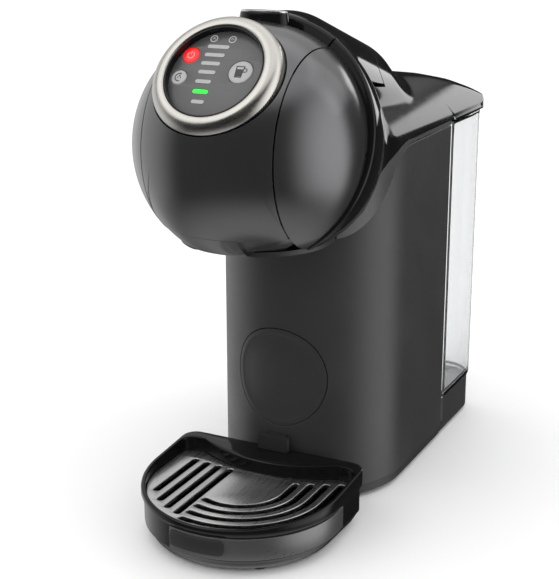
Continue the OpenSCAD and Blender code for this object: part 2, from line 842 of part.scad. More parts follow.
base_plate();
rubber_feet();
base_screws();
column_shell();
rear_panel();
service_cap();
neck_trim();
hood_shell();
dome_left();
dome_right();
head_underside();
head_frame();
handle_pin();
tray_rail();
tank_dock();
dock_seal();
cable_gland();
pump();
pump_mounts();
heater();
flow_meter();
water_hoses();
control_board();
handle_strip();
handle_top();
top_badge();
ring_seat();
display_disc();
level_bars();
active_bar();
status_icons();
selector_ring();
power_button();
temperature_button();
boost_button();
injection_plate();
piercing_needle();
pod_gasket();
pod_holder();
pod_holder_front();
water_tank();
tank_valve();
valve_seal();
lid_hinge_pin();
tank_lid();
drip_tray();
tray_band();
tray_plate();
tray_feet();
drip_grid();
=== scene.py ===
"""Looks of the pod coffee machine: smooth shells, rings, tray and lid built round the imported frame."""
import json
import math
import bpy
import bmesh
import numpy as np
from mathutils import Matrix, Vector

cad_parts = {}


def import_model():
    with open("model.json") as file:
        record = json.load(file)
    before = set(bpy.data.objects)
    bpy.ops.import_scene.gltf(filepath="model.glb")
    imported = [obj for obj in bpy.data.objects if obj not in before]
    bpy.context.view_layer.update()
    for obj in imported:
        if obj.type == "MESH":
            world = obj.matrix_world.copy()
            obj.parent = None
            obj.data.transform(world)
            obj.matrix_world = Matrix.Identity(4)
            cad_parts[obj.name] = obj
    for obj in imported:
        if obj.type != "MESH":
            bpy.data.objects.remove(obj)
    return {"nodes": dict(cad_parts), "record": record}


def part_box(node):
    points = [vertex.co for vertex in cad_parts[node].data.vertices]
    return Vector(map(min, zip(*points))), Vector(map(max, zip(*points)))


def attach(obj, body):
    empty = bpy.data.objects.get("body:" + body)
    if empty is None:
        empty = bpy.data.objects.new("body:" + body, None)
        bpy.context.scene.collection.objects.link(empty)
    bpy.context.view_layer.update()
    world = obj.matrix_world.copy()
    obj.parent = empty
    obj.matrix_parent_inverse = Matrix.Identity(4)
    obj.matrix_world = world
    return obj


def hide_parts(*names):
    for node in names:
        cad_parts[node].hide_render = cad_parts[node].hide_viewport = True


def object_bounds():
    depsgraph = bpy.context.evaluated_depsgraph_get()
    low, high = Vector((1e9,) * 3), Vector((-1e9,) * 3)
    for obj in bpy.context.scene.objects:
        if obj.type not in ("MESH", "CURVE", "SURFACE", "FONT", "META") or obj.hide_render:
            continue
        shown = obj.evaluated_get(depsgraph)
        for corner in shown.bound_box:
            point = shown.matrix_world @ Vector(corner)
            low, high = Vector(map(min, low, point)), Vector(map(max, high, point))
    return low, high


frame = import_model()
CAD_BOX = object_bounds()

MM = 0.001
JOINTS = {j["name"]: j for j in frame["record"]["behaviour"]["joints"]}
TRAY_R = 55.5
# Y of the tray's centre, in millimetres; depths below are counted behind it
TRAY_Y = CAD_BOX[0][1] / MM + TRAY_R


def behind(y_m):
    """Millimetres behind the tray's centre of a row-frame Y in metres."""
    return y_m / MM - TRAY_Y


def to_row(points):
    """Points in millimetres, with Y counted behind the tray's centre, in the row's frame."""
    a = np.array(points, float).reshape(-1, 3)
    a[:, 1] += TRAY_Y
    return a * MM


# ---- node graphs and materials ----


class Graph:
    """A node tree that is built by calls."""

    def __init__(self, tree):
        self.tree = tree
        tree.nodes.clear()

    def add(self, kind, inputs=None, **settings):
        n = self.tree.nodes.new(kind)
        for k, v in settings.items():
            setattr(n, k, v)
        for k, v in (inputs or {}).items():
            if isinstance(v, bpy.types.NodeSocket):
                self.tree.links.new(v, n.inputs[k])
            else:
                n.inputs[k].default_value = v
        return n

    def link(self, value, node, socket):
        self.tree.links.new(value, node.inputs[socket])

    def math(self, op, a, b=0.0, c=0.0):
        return self.add("ShaderNodeMath", {0: a, 1: b, 2: c}, operation=op).outputs[0]

    def smooth(self, value, low, high, to_low=0.0, to_high=1.0):
        n = self.add("ShaderNodeMapRange", {0: value, 1: low, 2: high, 3: to_low, 4: to_high},
                     interpolation_type="SMOOTHSTEP")
        return n.outputs[0]

    def xyz(self, vector):
        return self.add("ShaderNodeSeparateXYZ", {0: vector}).outputs

    def noise(self, vector, scale, detail=3.0, rough=0.5):
        n = self.add("ShaderNodeTexNoise", {"Vector": vector, "Scale": scale, "Detail": detail,
                                            "Roughness": rough})
        return n.outputs["Fac"]

    def tint(self, value, low, high):
        """A grey or coloured mix from low to high by value."""
        n = self.add("ShaderNodeMix", data_type="RGBA")
        self.link(value, n, "Factor")
        n.inputs["A"].default_value = (*low, 1)
        n.inputs["B"].default_value = (*high, 1)
        return n.outputs["Result"]


def shaded(name, constants, build):
    """A Principled material: constants go on its own sockets, and build links what varies."""
    mat = bpy.data.materials.new(name)
    mat.use_nodes = True
    g = Graph(mat.node_tree)
    bsdf = g.add("ShaderNodeBsdfPrincipled", constants)
    out = g.add("ShaderNodeOutputMaterial")
    g.link(bsdf.outputs[0], out, "Surface")
    coords = g.add("ShaderNodeTexCoord").outputs["Object"]
    build(g, bsdf, coords)
    return mat


def bump(g, bsdf, height, distance, strength=1.0):
    n = g.add("ShaderNodeBump", {"Height": height, "Distance": distance, "Strength": strength})
    g.link(n.outputs[0], bsdf, "Normal")


def moulded(name, color, rough, spread=0.04, grain_mm=0.0, depth_um=4.0, **constants):
    """Moulded plastic: a slow tone drift, uneven gloss, and orange peel or a spark-eroded grain."""

    def build(g, bsdf, coords):
        drift = g.noise(coords, 28, 4)
        fine = g.noise(coords, 420, 3, 0.6)
        low = tuple(c * 0.88 for c in color)
        high = tuple(min(1, c * 1.14) for c in color)
        g.link(g.tint(drift, low, high), bsdf, "Base Color")
        uneven = g.math("ADD", g.math("MULTIPLY", drift, 0.6), g.math("MULTIPLY", fine, 0.4))
        gloss = g.smooth(uneven, 0.3, 0.7, max(0.02, rough - spread), rough + spread)
        g.link(gloss, bsdf, "Roughness")
        if grain_mm:
            peel = g.noise(coords, 1 / (grain_mm * MM), 2, 0.55)
        else:
            peel = g.noise(coords, 160, 1, 0.4)
        bump(g, bsdf, peel, depth_um * 1e-6)

    return shaded(name, constants, build)


def brushed(name, color, rough, polar=False, across="X", **constants):
    """Brushed metal: fine lines round the local Z axis, or along one axis, in bump and gloss."""

    def build(g, bsdf, coords):
        x, y, z = g.xyz(coords)
        if polar:
            r = g.math("SQRT", g.math("ADD", g.math("MULTIPLY", x, x), g.math("MULTIPLY", y, y)))
            turn = g.math("MULTIPLY", g.math("ARCTAN2", y, x), 0.004)
            line = g.add("ShaderNodeCombineXYZ", {0: r, 1: turn, 2: z}).outputs[0]
        else:
            stretch = {"X": (0.02, 1, 1), "Y": (1, 0.02, 1), "Z": (1, 1, 0.02)}[across]
            line = g.add("ShaderNodeVectorMath", {0: coords, 1: stretch},
                         operation="MULTIPLY").outputs[0]
        lines = g.noise(line, 5200, 2, 0.6)
        wide = g.noise(line, 900, 2, 0.5)
        tone = g.math("ADD", g.math("MULTIPLY", lines, 0.6), g.math("MULTIPLY", wide, 0.4))
        low = tuple(c * 0.82 for c in color)
        high = tuple(min(1, c * 1.12) for c in color)
        g.link(g.tint(tone, low, high), bsdf, "Base Color")
        g.link(g.smooth(tone, 0.25, 0.75, rough - 0.07, rough + 0.09), bsdf, "Roughness")
        bump(g, bsdf, lines, 3e-6, 0.5)

    return shaded(name, {"Metallic": 1.0, **constants}, build)


def lamp(name, color, strength, rough=0.3):
    """A backlit print: slightly uneven glow behind a satin face."""

    def build(g, bsdf, coords):
        glow = g.noise(coords, 500, 2)
        low = tuple(c * 0.82 for c in color)
        g.link(g.tint(glow, low, color), bsdf, "Base Color")
        g.link(g.tint(glow, low, color), bsdf, "Emission Color")
        g.link(g.smooth(glow, 0.3, 0.7, rough - 0.05, rough + 0.1), bsdf, "Roughness")

    return shaded(name, {"Emission Strength": strength}, build)


def clear(name, color, rough, ior=1.46):
    """Clear moulded plastic with faint flow lines and a slightly uneven gloss."""

    def build(g, bsdf, coords):
        flow = g.noise(coords, 60, 2)
        low = tuple(c * 0.97 for c in color)
        g.link(g.tint(flow, low, color), bsdf, "Base Color")
        g.link(g.smooth(flow, 0.3, 0.7, rough, rough + 0.04), bsdf, "Roughness")
        bump(g, bsdf, g.noise(coords, 90, 1), 8e-6, 0.5)

    return shaded(name, {"Transmission Weight": 1.0, "IOR": ior}, build)


BLACK = moulded("black_gloss", (0.006, 0.006, 0.0065), 0.07, 0.025, depth_um=2.0,
                **{"Specular IOR Level": 0.22})
FACE = moulded("charcoal_gloss", (0.12, 0.12, 0.124), 0.22, 0.03, depth_um=2.0, Metallic=0.85,
               **{"Coat Weight": 0.12, "Coat Roughness": 0.06})
COLUMN = moulded("column_satin", (0.03, 0.03, 0.031), 0.4, 0.05, grain_mm=0.35, depth_um=14)
TRIM = moulded("trim_satin", (0.05, 0.05, 0.051), 0.38, 0.05, grain_mm=0.35, depth_um=10)
DARK = moulded("dark_plastic", (0.02, 0.02, 0.021), 0.45, 0.06, grain_mm=0.4, depth_um=14)
DISPLAY = moulded("display_lens", (0.07, 0.07, 0.072), 0.3, 0.04, grain_mm=0.3, depth_um=2.0,
                  **{"Coat Weight": 0.2, "Coat Roughness": 0.2})
RING = brushed("ring_metal", (0.5, 0.485, 0.455), 0.3, polar=True)
GRID = brushed("grid_metal", (0.6, 0.6, 0.595), 0.3, across="Y")
STEEL = brushed("steel", (0.6, 0.6, 0.6), 0.25, polar=True)
CAST = moulded("cast_aluminium", (0.5, 0.5, 0.49), 0.42, 0.08, grain_mm=0.8, depth_um=40,
               Metallic=1.0)
BAND = moulded("band_satin", (0.15, 0.15, 0.152), 0.3, 0.04, depth_um=3.0, Metallic=0.7)
RUBBER = moulded("rubber", (0.018, 0.018, 0.018), 0.75, 0.08, grain_mm=0.5, depth_um=30)
SEAL = moulded("seal_rubber", (0.22, 0.045, 0.03), 0.6, 0.08, grain_mm=0.5, depth_um=20)
BOARD = moulded("board_green", (0.015, 0.1, 0.04), 0.35, 0.06, grain_mm=1.2, depth_um=20)
WHITE = moulded("white_plastic", (0.7, 0.7, 0.66), 0.4, 0.06, grain_mm=0.6, depth_um=12)
HOSE = moulded("clear_hose", (0.6, 0.62, 0.63), 0.35, 0.06, grain_mm=0.9, depth_um=16)
ICON = lamp("icon_grey", (0.36, 0.36, 0.36), 0.15)
ICON_DARK = moulded("icon_dark", (0.03, 0.03, 0.031), 0.4, 0.05, grain_mm=0.2, depth_um=3.0)
GREEN = lamp("light_green", (0.0, 0.92, 0.02), 1.0)
RED = lamp("light_red", (0.95, 0.006, 0.006), 0.75)
CLEAR = clear("clear_plastic", (0.97, 0.98, 0.985), 0.02)


# ---- mesh helpers ----


def piece(name, points, faces, material, body, nodes=(), centre=None):
    """A mesh piece, in millimetres behind the tray's centre, riding on a body."""
    mesh = bpy.data.meshes.new(name)
    co = to_row(points)
    mesh.from_pydata([tuple(p) for p in co], [], [tuple(f) for f in faces])
    mesh.update()
    if centre is not None:
        c = Vector(to_row([centre])[0])
        out = sum((p.center - c).dot(p.normal) * p.area for p in mesh.polygons)
        if out < 0:
            mesh.flip_normals()
    obj = bpy.data.objects.new(name, mesh)
    return placed(obj, material, body, nodes)


def placed(obj, material, body, nodes=()):
    """Links obj, gives it its material, and says which body it rides on and what it stands for."""
    if obj.name not in bpy.context.scene.collection.objects:
        bpy.context.scene.collection.objects.link(obj)
    obj.data.materials.clear()
    obj.data.materials.append(material)
    if obj.type == "MESH":
        obj.data.shade_smooth()
    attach(obj, body)
    if nodes:
        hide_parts(*nodes)
    return obj


def grid_faces(rows, cols, wrap=False, start=0):
    """Quads of a grid of rows x cols points; wrap joins the last column to the first."""
    last = cols if wrap else cols - 1
    return [(start + i * cols + j, start + i * cols + (j + 1) % cols,
             start + (i + 1) * cols + (j + 1) % cols, start + (i + 1) * cols + j)
            for i in range(rows - 1) for j in range(last)]


def closed_faces(rows, cols):
    """Faces of a tube of loops, with its first and last loop filled."""
    last = (rows - 1) * cols
    return grid_faces(rows, cols, wrap=True) + [tuple(range(cols)), tuple(range(last, last + cols))]


def solidify(obj, thickness_mm, even=True):
    """Gives a sheet a wall on its inner side."""
    m = obj.modifiers.new("wall", "SOLIDIFY")
    m.thickness = thickness_mm * MM
    m.offset = -1
    m.use_even_offset = even
    m.use_quality_normals = True
    return obj


def bevel(obj, width_mm, segments=3, angle=38):
    """Rounds the edges that are sharper than angle, in degrees."""
    m = obj.modifiers.new("edges", "BEVEL")
    m.width = width_mm * MM
    m.segments = segments
    m.limit_method = "ANGLE"
    m.angle_limit = math.radians(angle)
    m.harden_normals = True
    m.miter_outer = "MITER_ARC"
    return obj


def lathe(profile, steps=96, ribs=0, rib_depth=0.0, ribbed=()):
    """Points and faces of a profile [(r, z)] turned round Z; rows in ribbed get fine ribs."""
    angles = np.arange(steps) * 2 * math.pi / steps
    rows = []
    for i, (r, z) in enumerate(profile):
        wave = rib_depth * (0.5 + 0.5 * np.cos(angles * ribs)) if i in ribbed else 0.0
        rr = r - wave * np.ones(steps)
        rows.append(np.stack([rr * np.cos(angles), rr * np.sin(angles), np.full(steps, z)], 1))
    pts = np.concatenate(rows)
    faces = grid_faces(len(profile), steps, wrap=True)
    return pts, faces


def mend(mesh, dist, normals=True, thin=0.0):
    """Joins points closer than dist metres, and makes the faces of a closed mesh point outwards."""
    bm = bmesh.new()
    bm.from_mesh(mesh)
    bmesh.ops.remove_doubles(bm, verts=bm.verts, dist=dist)
    if thin:
        bmesh.ops.dissolve_degenerate(bm, dist=thin, edges=bm.edges)
    if normals:
        bmesh.ops.recalc_face_normals(bm, faces=bm.faces)
    bm.to_mesh(mesh)
    bm.free()


def local_piece(name, pts, faces, matrix, material, body, nodes=()):
    """A piece whose mesh is in its own millimetre frame, placed by a matrix in the row's frame."""
    mesh = bpy.data.meshes.new(name)
    mesh.from_pydata([tuple(np.array(p) * MM) for p in pts], [], [tuple(f) for f in faces])
    mend(mesh, 1e-7)
    obj = bpy.data.objects.new(name, mesh)
    obj.matrix_world = matrix
    return placed(obj, material, body, nodes)


def outline_plate(name, loops, low, high, edge):
    """A flat plate with rounded edges: loops of (x, y) in mm, the first the outside, from a curve."""
    curve = bpy.data.curves.new(name + "_outline", "CURVE")
    curve.dimensions = "2D"
    curve.fill_mode = "BOTH"
    curve.extrude = (high - low - 2 * edge) / 2 * MM
    curve.bevel_depth = edge * MM
    curve.bevel_resolution = 2
    curve.offset = -edge * MM
    for loop in loops:
        s = curve.splines.new("POLY")
        s.points.add(len(loop) - 1)
        for p, (x, y) in zip(s.points, loop):
            p.co = (x * MM, y * MM, 0, 1)
        s.use_cyclic_u = True
    carrier = bpy.data.objects.new(name + "_outline", curve)
    bpy.context.scene.collection.objects.link(carrier)
    bpy.context.view_layer.update()
    mesh = bpy.data.meshes.new_from_object(carrier.evaluated_get(
        bpy.context.evaluated_depsgraph_get()))
    bpy.data.objects.remove(carrier)
    mesh.transform(Matrix.Translation((0, 0, (low + high) / 2 * MM)))
    mend(mesh, 1e-6, thin=1e-7)
    mesh.name = name
    return bpy.data.objects.new(name, mesh)


def arc_points(cx, cy, r, a0, a1, n):
    a = np.radians(np.linspace(a0, a1, n))
    return [(cx + r * math.cos(t), cy + r * math.sin(t)) for t in a]


def last_inside(test, low, high, turns):
    """Largest value between low and high that passes test, found by halving."""
    for _ in range(turns):
        mid = (low + high) / 2
        if test(mid):
            low = mid
        else:
            high = mid
    return (low + high) / 2


# ---- the head's surface ----

BALL_C, BALL_R = np.array([0, 17, 208.5]), 64.2
FACE_C, FACE_R = np.array([0, 13, 207.0]), 61.0
RIM_C, RIM_TILT = np.array([0, 14, 208.0]), math.radians(19)
RIM_N = np.array([0, -math.cos(RIM_TILT), math.sin(RIM_TILT)])
RIM_UP = np.array([0, math.sin(RIM_TILT), math.cos(RIM_TILT)])
RIDGE_A, RIDGE_B, RIDGE_R = np.array([0, 50, 234.3]), np.array([0, 112, 215.0]), 36.0
NECK_W, NECK_LOW, NECK_RISE = 54.8, 203.0, 26.0
HEAD_BACK = 160.6
SLOT_X, STRIP_X = 35.9, 35.3
RIM_INNER = 57.6
SKIN_T = 1.7
# The seam between the cover and the hood is round about the hinge, with a gap between
COVER_DRUM_R, HOOD_DRUM_R, COVER_BACK = 8.9, 9.8, 97.8
PIVOT = JOINTS["handle_lift"]["pos_m"]
PIVOT_Y, PIVOT_Z = behind(PIVOT[1]), PIVOT[2] / MM


def smooth01(t):
    u = np.clip(t, 0, 1)
    return u * u * (3 - 2 * u)


def hood_edge(y):
    return 158 + 43 * smooth01((y + 15) / 105)


def trim_edge(y):
    return 158 + 40 * smooth01((y - 28) / 67)


def smin(a, b, k):
    h = np.clip(0.5 + 0.5 * (b - a) / k, 0, 1)
    return b * (1 - h) + a * h - k * h * (1 - h)


LID_TOP = [[-60, 229], [139, 229], [155, 228.2], [175, 225], [195, 220], [213, 213.5], [222, 209.5],
           [227, 206.2], [231.5, 203.4]]


def head_field(p):
    """Below zero inside the head: ball, ridge and neck in one smooth skin."""
    x, y, z = p[..., 0], p[..., 1], p[..., 2]
    ball = np.linalg.norm(p - BALL_C, axis=-1) - BALL_R
    d = RIDGE_B - RIDGE_A
    t = np.clip(((p - RIDGE_A) @ d) / (d @ d), 0, 1)
    ridge = np.linalg.norm(p - (RIDGE_A + t[..., None] * d), axis=-1) - RIDGE_R
    w = NECK_W - 7 * smooth01((72 - y) / 34)
    u = np.clip(np.abs(x) / w, 0, 1.2)
    slope = 3 * NECK_RISE * u * u / w
    crown = (z - NECK_LOW - NECK_RISE * (1 - u ** 3)) / np.sqrt(1 + slope ** 2)
    drop = np.interp(y, [a for a, _ in LID_TOP], [b for _, b in LID_TOP])
    crown = -smin(-crown, -(z - drop), 3.0)
    neck = -smin(-(np.abs(x) - w), -crown, 2.5)
    neck = np.maximum(neck, (34 - y) * 0.8)
    return smin(smin(ball, ridge, 7), neck, 9)


def cast(origin, direction, near=8.0, far=110.0):
    """Points where rays from inside meet the head's skin."""
    lo = np.full(origin.shape[:-1], near)
    hi = np.full(origin.shape[:-1], far)
    for _ in range(34):
        mid = (lo + hi) / 2
        inside = head_field(origin + mid[..., None] * direction) < 0
        lo = np.where(inside, mid, lo)
        hi = np.where(inside, hi, mid)
    return origin + ((lo + hi) / 2)[..., None] * direction


def station(y):
    """Origin and up direction of the section through the head at depth y."""
    back = smooth01((y - 14) / 60)
    tilt = RIM_TILT * (1 - back)
    low = 208 - 32 * smooth01((y - 14) / 90)
    return np.array([0, y, low]), np.array([0, math.sin(tilt), math.cos(tilt)])


def on_section(y, theta):
    """Points of the skin at section y and angles theta from +X."""
    origin, up = station(y)
    theta = np.asarray(theta, float)
    d = np.cos(theta)[:, None] * np.array([1.0, 0, 0]) + np.sin(theta)[:, None] * up
    return cast(np.tile(origin, (len(theta), 1)), d)


FAN = np.radians(np.linspace(-80, 90, 800))
FANS = {}


def crossing(y, values, target):
    """Last angle of the fan, at section y, at which values crosses target."""
    d = values - target
    i = np.where((d[:-1] <= 0) != (d[1:] <= 0))[0][-1]
    return FAN[i] + (FAN[i + 1] - FAN[i]) * d[i] / (d[i] - d[i + 1])


BEHIND_HINGE = [98.4, 100, 102, 104, 106, 108, 110]
AHEAD_OF_HINGE = np.concatenate([np.linspace(14, 20, 5), np.linspace(22.5, 96, 36)])
STATIONS = np.concatenate([AHEAD_OF_HINGE, BEHIND_HINGE, np.linspace(112, 128, 9),
                           np.linspace(130, HEAD_BACK, 16)])
HINGE_ROW = len(AHEAD_OF_HINGE)
SIDE_N, MID_N = 40, 48


def head_angles(y, seam_x):
    """Lower-edge angle and seam angle on the right side, at section y."""
    if y not in FANS:
        FANS[y] = on_section(y, FAN)
    p = FANS[y]
    low = crossing(y, p[:, 2] - hood_edge(p[:, 1]), 0.3)
    return low, crossing(y, p[:, 0], seam_x)


def rim_rows(row):
    """Rows from the hidden inner ring to the skin's first row, rounding the lip."""
    rel = row - FACE_C
    along = rel - (rel @ RIM_N)[:, None] * RIM_N
    flat = FACE_C + along - ((FACE_C - RIM_C) @ RIM_N) * RIM_N
    out = along / np.linalg.norm(along, axis=1)[:, None]
    base = FACE_C - ((FACE_C - RIM_C) @ RIM_N) * RIM_N
    r_out = np.linalg.norm(flat - base, axis=1)
    lip = 1.9
    rows = [base + out * RIM_INNER, base + out * (RIM_INNER + 1.2)]
    for k in range(7):
        a = k / 6 * math.pi / 2
        r = r_out - lip + lip * math.sin(a)
        rows.append(base + out * r[:, None] - RIM_N * lip * (1 - math.cos(a)))
    return rows


def middle(seam_x, depths):
    """Skin between the two seams: an array of sections, columns and coordinates."""
    rows = []
    for y in depths:
        seam = head_angles(y, seam_x)[1]
        rows.append(on_section(y, np.linspace(seam, math.pi - seam, MID_N + 1)))
    return np.array(rows)


def at_depth(block, depths, y):
    """One row of the skin, with its own depth in each column."""
    return np.array([[np.interp(v, depths, block[:, j, 0]), v, np.interp(v, depths, block[:, j, 2])]
                     for j, v in enumerate(y)])


def hinge_edge(block, depths, radius, least):
    """Depth in each column of an edge that is round about the hinge's axis."""
    y = np.full(block.shape[1], least)
    for _ in range(30):
        rise = at_depth(block, depths, y)[:, 2] - PIVOT_Z
        y = np.maximum(least, PIVOT_Y + np.sqrt(np.maximum(0, radius ** 2 - rise ** 2)))
    return y


def hood():
    """The black hood: both cheeks from the rim back, and the middle behind the hinge."""
    pts, faces = [], []

    def add(rows):
        start = len(pts)
        for r in rows:
            pts.extend(r)
        faces.extend(grid_faces(len(rows), len(rows[0]), start=start))

    right = []
    for y in STATIONS:
        low, seam = head_angles(y, SLOT_X)
        right.append(on_section(y, np.linspace(low, seam, SIDE_N + 1)))
    left = [r[::-1] * np.array([-1, 1, 1]) for r in right]
    for rows in (left, right):
        add(rim_rows(rows[0]) + rows[2:])
    depths = STATIONS[HINGE_ROW:]
    block = middle(SLOT_X, depths)
    edge = hinge_edge(block, depths, HOOD_DRUM_R, BEHIND_HINGE[0])
    span = BEHIND_HINGE[-1] - BEHIND_HINGE[0]
    rows = [at_depth(block, depths, edge + (BEHIND_HINGE[-1] - edge) * (v - BEHIND_HINGE[0]) / span)
            for v in BEHIND_HINGE]
    add(rows + list(block[len(BEHIND_HINGE):]))
    obj = piece("hood", pts, faces, BLACK, "housing", ("hood_shell",),
                centre=(0, 60, 200))
    mend(obj.data, 3e-5, normals=False)
    fix_normals(obj, (0, 60, 200))
    solidify(obj, SKIN_T)
    return bevel(obj, 0.35, 3)


def handle_cover():
    """The middle of the hood, which lifts with the handle."""
    depths = np.concatenate([STATIONS[:HINGE_ROW], np.arange(97, 112, 1.0)])
    block = middle(STRIP_X, depths)
    edge = hinge_edge(block, depths, COVER_DRUM_R, COVER_BACK)
    kept = HINGE_ROW - 2
    start = depths[kept - 1]
    rows = rim_rows(block[0]) + list(block[2:kept])
    rows += [at_depth(block, depths, start + (edge - start) * t) for t in np.linspace(0, 1, 8)[1:]]
    obj = piece("handle_cover", np.concatenate(rows), grid_faces(len(rows), MID_N + 1), BLACK,
                "handle", ("handle_top",), centre=(0, 60, 200))
    solidify(obj, SKIN_T)
    return bevel(obj, 0.35, 3)


# ---- the face ----


def face_point(gamma, beta, pole, side, up, radius=FACE_R):
    """A point of the face's sphere, gamma from the pole and beta round it."""
    return (FACE_C + radius * (np.cos(gamma) * pole + np.sin(gamma)
                               * (np.cos(beta) * side + np.sin(beta) * up)))


def dome(name, sign, node):
    """One cheek of the face, from the seam round to the rim."""
    rows = []
    for a in np.radians(np.linspace(math.degrees(math.asin(SLOT_X / FACE_R)), 89.2, 46)):
        x, rho = FACE_R * math.sin(a), FACE_R * math.cos(a)
        end = math.acos(max(-1, -0.62 / rho))
        psi = np.linspace(-end, end, 72)
        p = (FACE_C + rho * (np.cos(psi)[:, None] * RIM_N + np.sin(psi)[:, None] * RIM_UP))
        p[:, 0] = sign * x
        rows.append(p)
    obj = piece(name, np.concatenate(rows), grid_faces(len(rows), 72), FACE, "housing", (node,),
                centre=FACE_C)
    solidify(obj, 2.4)
    return bevel(obj, 0.4, 3)


RING_AXIS = np.array(JOINTS["selector_turn"]["axis"])
RING_C = np.array(JOINTS["selector_turn"]["pos_m"]) / MM - np.array([0, TRAY_Y, 0])
RING_UP = np.array([0, RING_AXIS[2], -RING_AXIS[1]])
RING_HOLE = 33.7
POWER_AT, POWER_R = (-16.9, 9.9), 4.3
TEMPERATURE_AT, TEMPERATURE_R = (-19.1, -2.8), 4.0
BOOST_AT, BOOST_R = (12.3, 2.3), 6.1
KEY_GAP = 0.25
SIGN_HEIGHT = -3.74


def strip():
    """The middle of the face, round the ring's seat."""
    side = np.array([1.0, 0, 0])
    low_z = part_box("handle_strip")[0][2] / MM

    def inside(p):
        return abs(p[0]) < STRIP_X and p[2] > low_z and (p - RIM_C) @ RIM_N > 0

    def past_hole(p):
        rel = p - RING_C
        return np.linalg.norm(rel - (rel @ RING_AXIS) * RING_AXIS) < RING_HOLE

    def limit(beta, test):
        return last_inside(lambda g: test(face_point(g, beta, RING_AXIS, side, RING_UP)),
                           0.0, math.radians(150), 28)

    betas = list(np.linspace(0, 2 * math.pi, 288, endpoint=False))
    betas = sorted(betas + corner_betas(limit, inside))
    steps = 44
    rows = np.zeros((steps, len(betas), 3))
    for j, beta in enumerate(betas):
        g0, g1 = limit(beta, past_hole), limit(beta, inside)
        g1 = max(g1, g0 + 0.004)
        for i in range(steps):
            g = g0 + (g1 - g0) * i / (steps - 1)
            rows[i, j] = face_point(g, beta, RING_AXIS, side, RING_UP)
    obj = piece("handle_face", rows.reshape(-1, 3), grid_faces(steps, len(betas), wrap=True), FACE,
                "handle", ("handle_strip",), centre=FACE_C)
    solidify(obj, 2.2)
    return bevel(obj, 0.3, 3)


def corner_betas(limit, inside):
    """Angles round the ring at which the strip's outline turns a corner."""
    side = np.array([1.0, 0, 0])
    betas = np.linspace(0, 2 * math.pi, 721)
    points = [face_point(limit(b, inside), b, RING_AXIS, side, RING_UP) for b in betas]
    on_side = [abs(abs(p[0]) - STRIP_X) < 0.02 for p in points]
    return [(a + b) / 2 for a, b, u, v in zip(betas, betas[1:], on_side, on_side[1:]) if u != v]


# ---- ring, display and keys ----


def ring_matrix():
    """Frame of the ring: local Z is its axis, and local Y points up its face."""
    m = Matrix.Identity(4)
    for i, axis in enumerate((Vector((1, 0, 0)), Vector(RING_UP), Vector(RING_AXIS))):
        for k in range(3):
            m[k][i] = axis[k]
    m.translation = Vector(to_row([RING_C])[0])
    return m


def selector_ring():
    """Knurled satin ring with a brushed face and rounded edges."""
    bore, r, low = 25.4, 33.0, -13.2
    profile = [(bore, low), (r - 1.2, low), (r - 0.4, low + 0.5), (r, low + 1.3), (r, low + 2.0),
               (r, low + 2.3), (r, -5.2), (r, -4.9), (r - 0.1, -4.4), (r - 0.5, -3.4),
               (r - 1.3, -1.9), (r - 2.4, -0.8), (r - 3.6, -0.2), (r - 4.2, 0), (r - 5.2, 0.02),
               (bore + 1.6, 0.02), (bore + 0.8, 0), (bore + 0.3, -0.15), (bore, -0.6),
               (bore, -3.0), (bore, low)]
    pts, faces = lathe(profile, 900, 150, 0.34, ribbed=(5, 6))
    return local_piece("ring", pts, faces, ring_matrix(), RING, "selector", ("selector_ring",))


def key(name, node, at, r, material, body):
    """A crowned round key with a soft edge."""
    top = -3.78
    profile = [(2.0, -12.4), (2.0, -6.1), (r - 0.3, -6.0), (r, -5.8), (r, top - 0.35),
               (r - 0.08, top - 0.16), (r - 0.3, top - 0.04), (r * 0.8, top), (r * 0.5, top + 0.04),
               (r * 0.2, top + 0.06), (0.01, top + 0.065)]
    pts, faces = lathe(profile, 72)
    m = ring_matrix() @ Matrix.Translation((at[0] * MM, at[1] * MM, 0))
    faces = list(faces) + [tuple(range(72))]
    return local_piece(name, pts, faces, m, material, body, (node,))


def stroke(points, width, closed=False):
    """Outline of a line of the given width through points, as one loop or two."""
    p = np.array(points, float)
    n = len(p)
    offs = []
    for i in range(n):
        a = p[i] - p[i - 1] if (i or closed) else p[1] - p[0]
        b = p[(i + 1) % n] - p[i] if (i < n - 1 or closed) else p[i] - p[i - 1]
        a, b = a / np.linalg.norm(a), b / np.linalg.norm(b)
        t = (a + b) / max(1e-6, np.linalg.norm(a + b))
        nrm = np.array([-t[1], t[0]])
        offs.append(nrm * width / 2 / max(0.4, nrm @ np.array([-a[1], a[0]])))
    offs = np.array(offs)
    if closed:
        return [list(map(tuple, p + offs)), list(map(tuple, p - offs))]
    return [list(map(tuple, p + offs)) + list(map(tuple, (p - offs)[::-1]))]


def symbol(name, loops, at, height, material, body):
    """A flat raised sign on the display or on a key, from outline loops in millimetres."""
    obj = outline_plate(name, loops, height, height + 0.1, 0.03)
    obj.matrix_world = ring_matrix() @ Matrix.Translation((at[0] * MM, at[1] * MM, 0))
    return placed(obj, material, body, ())


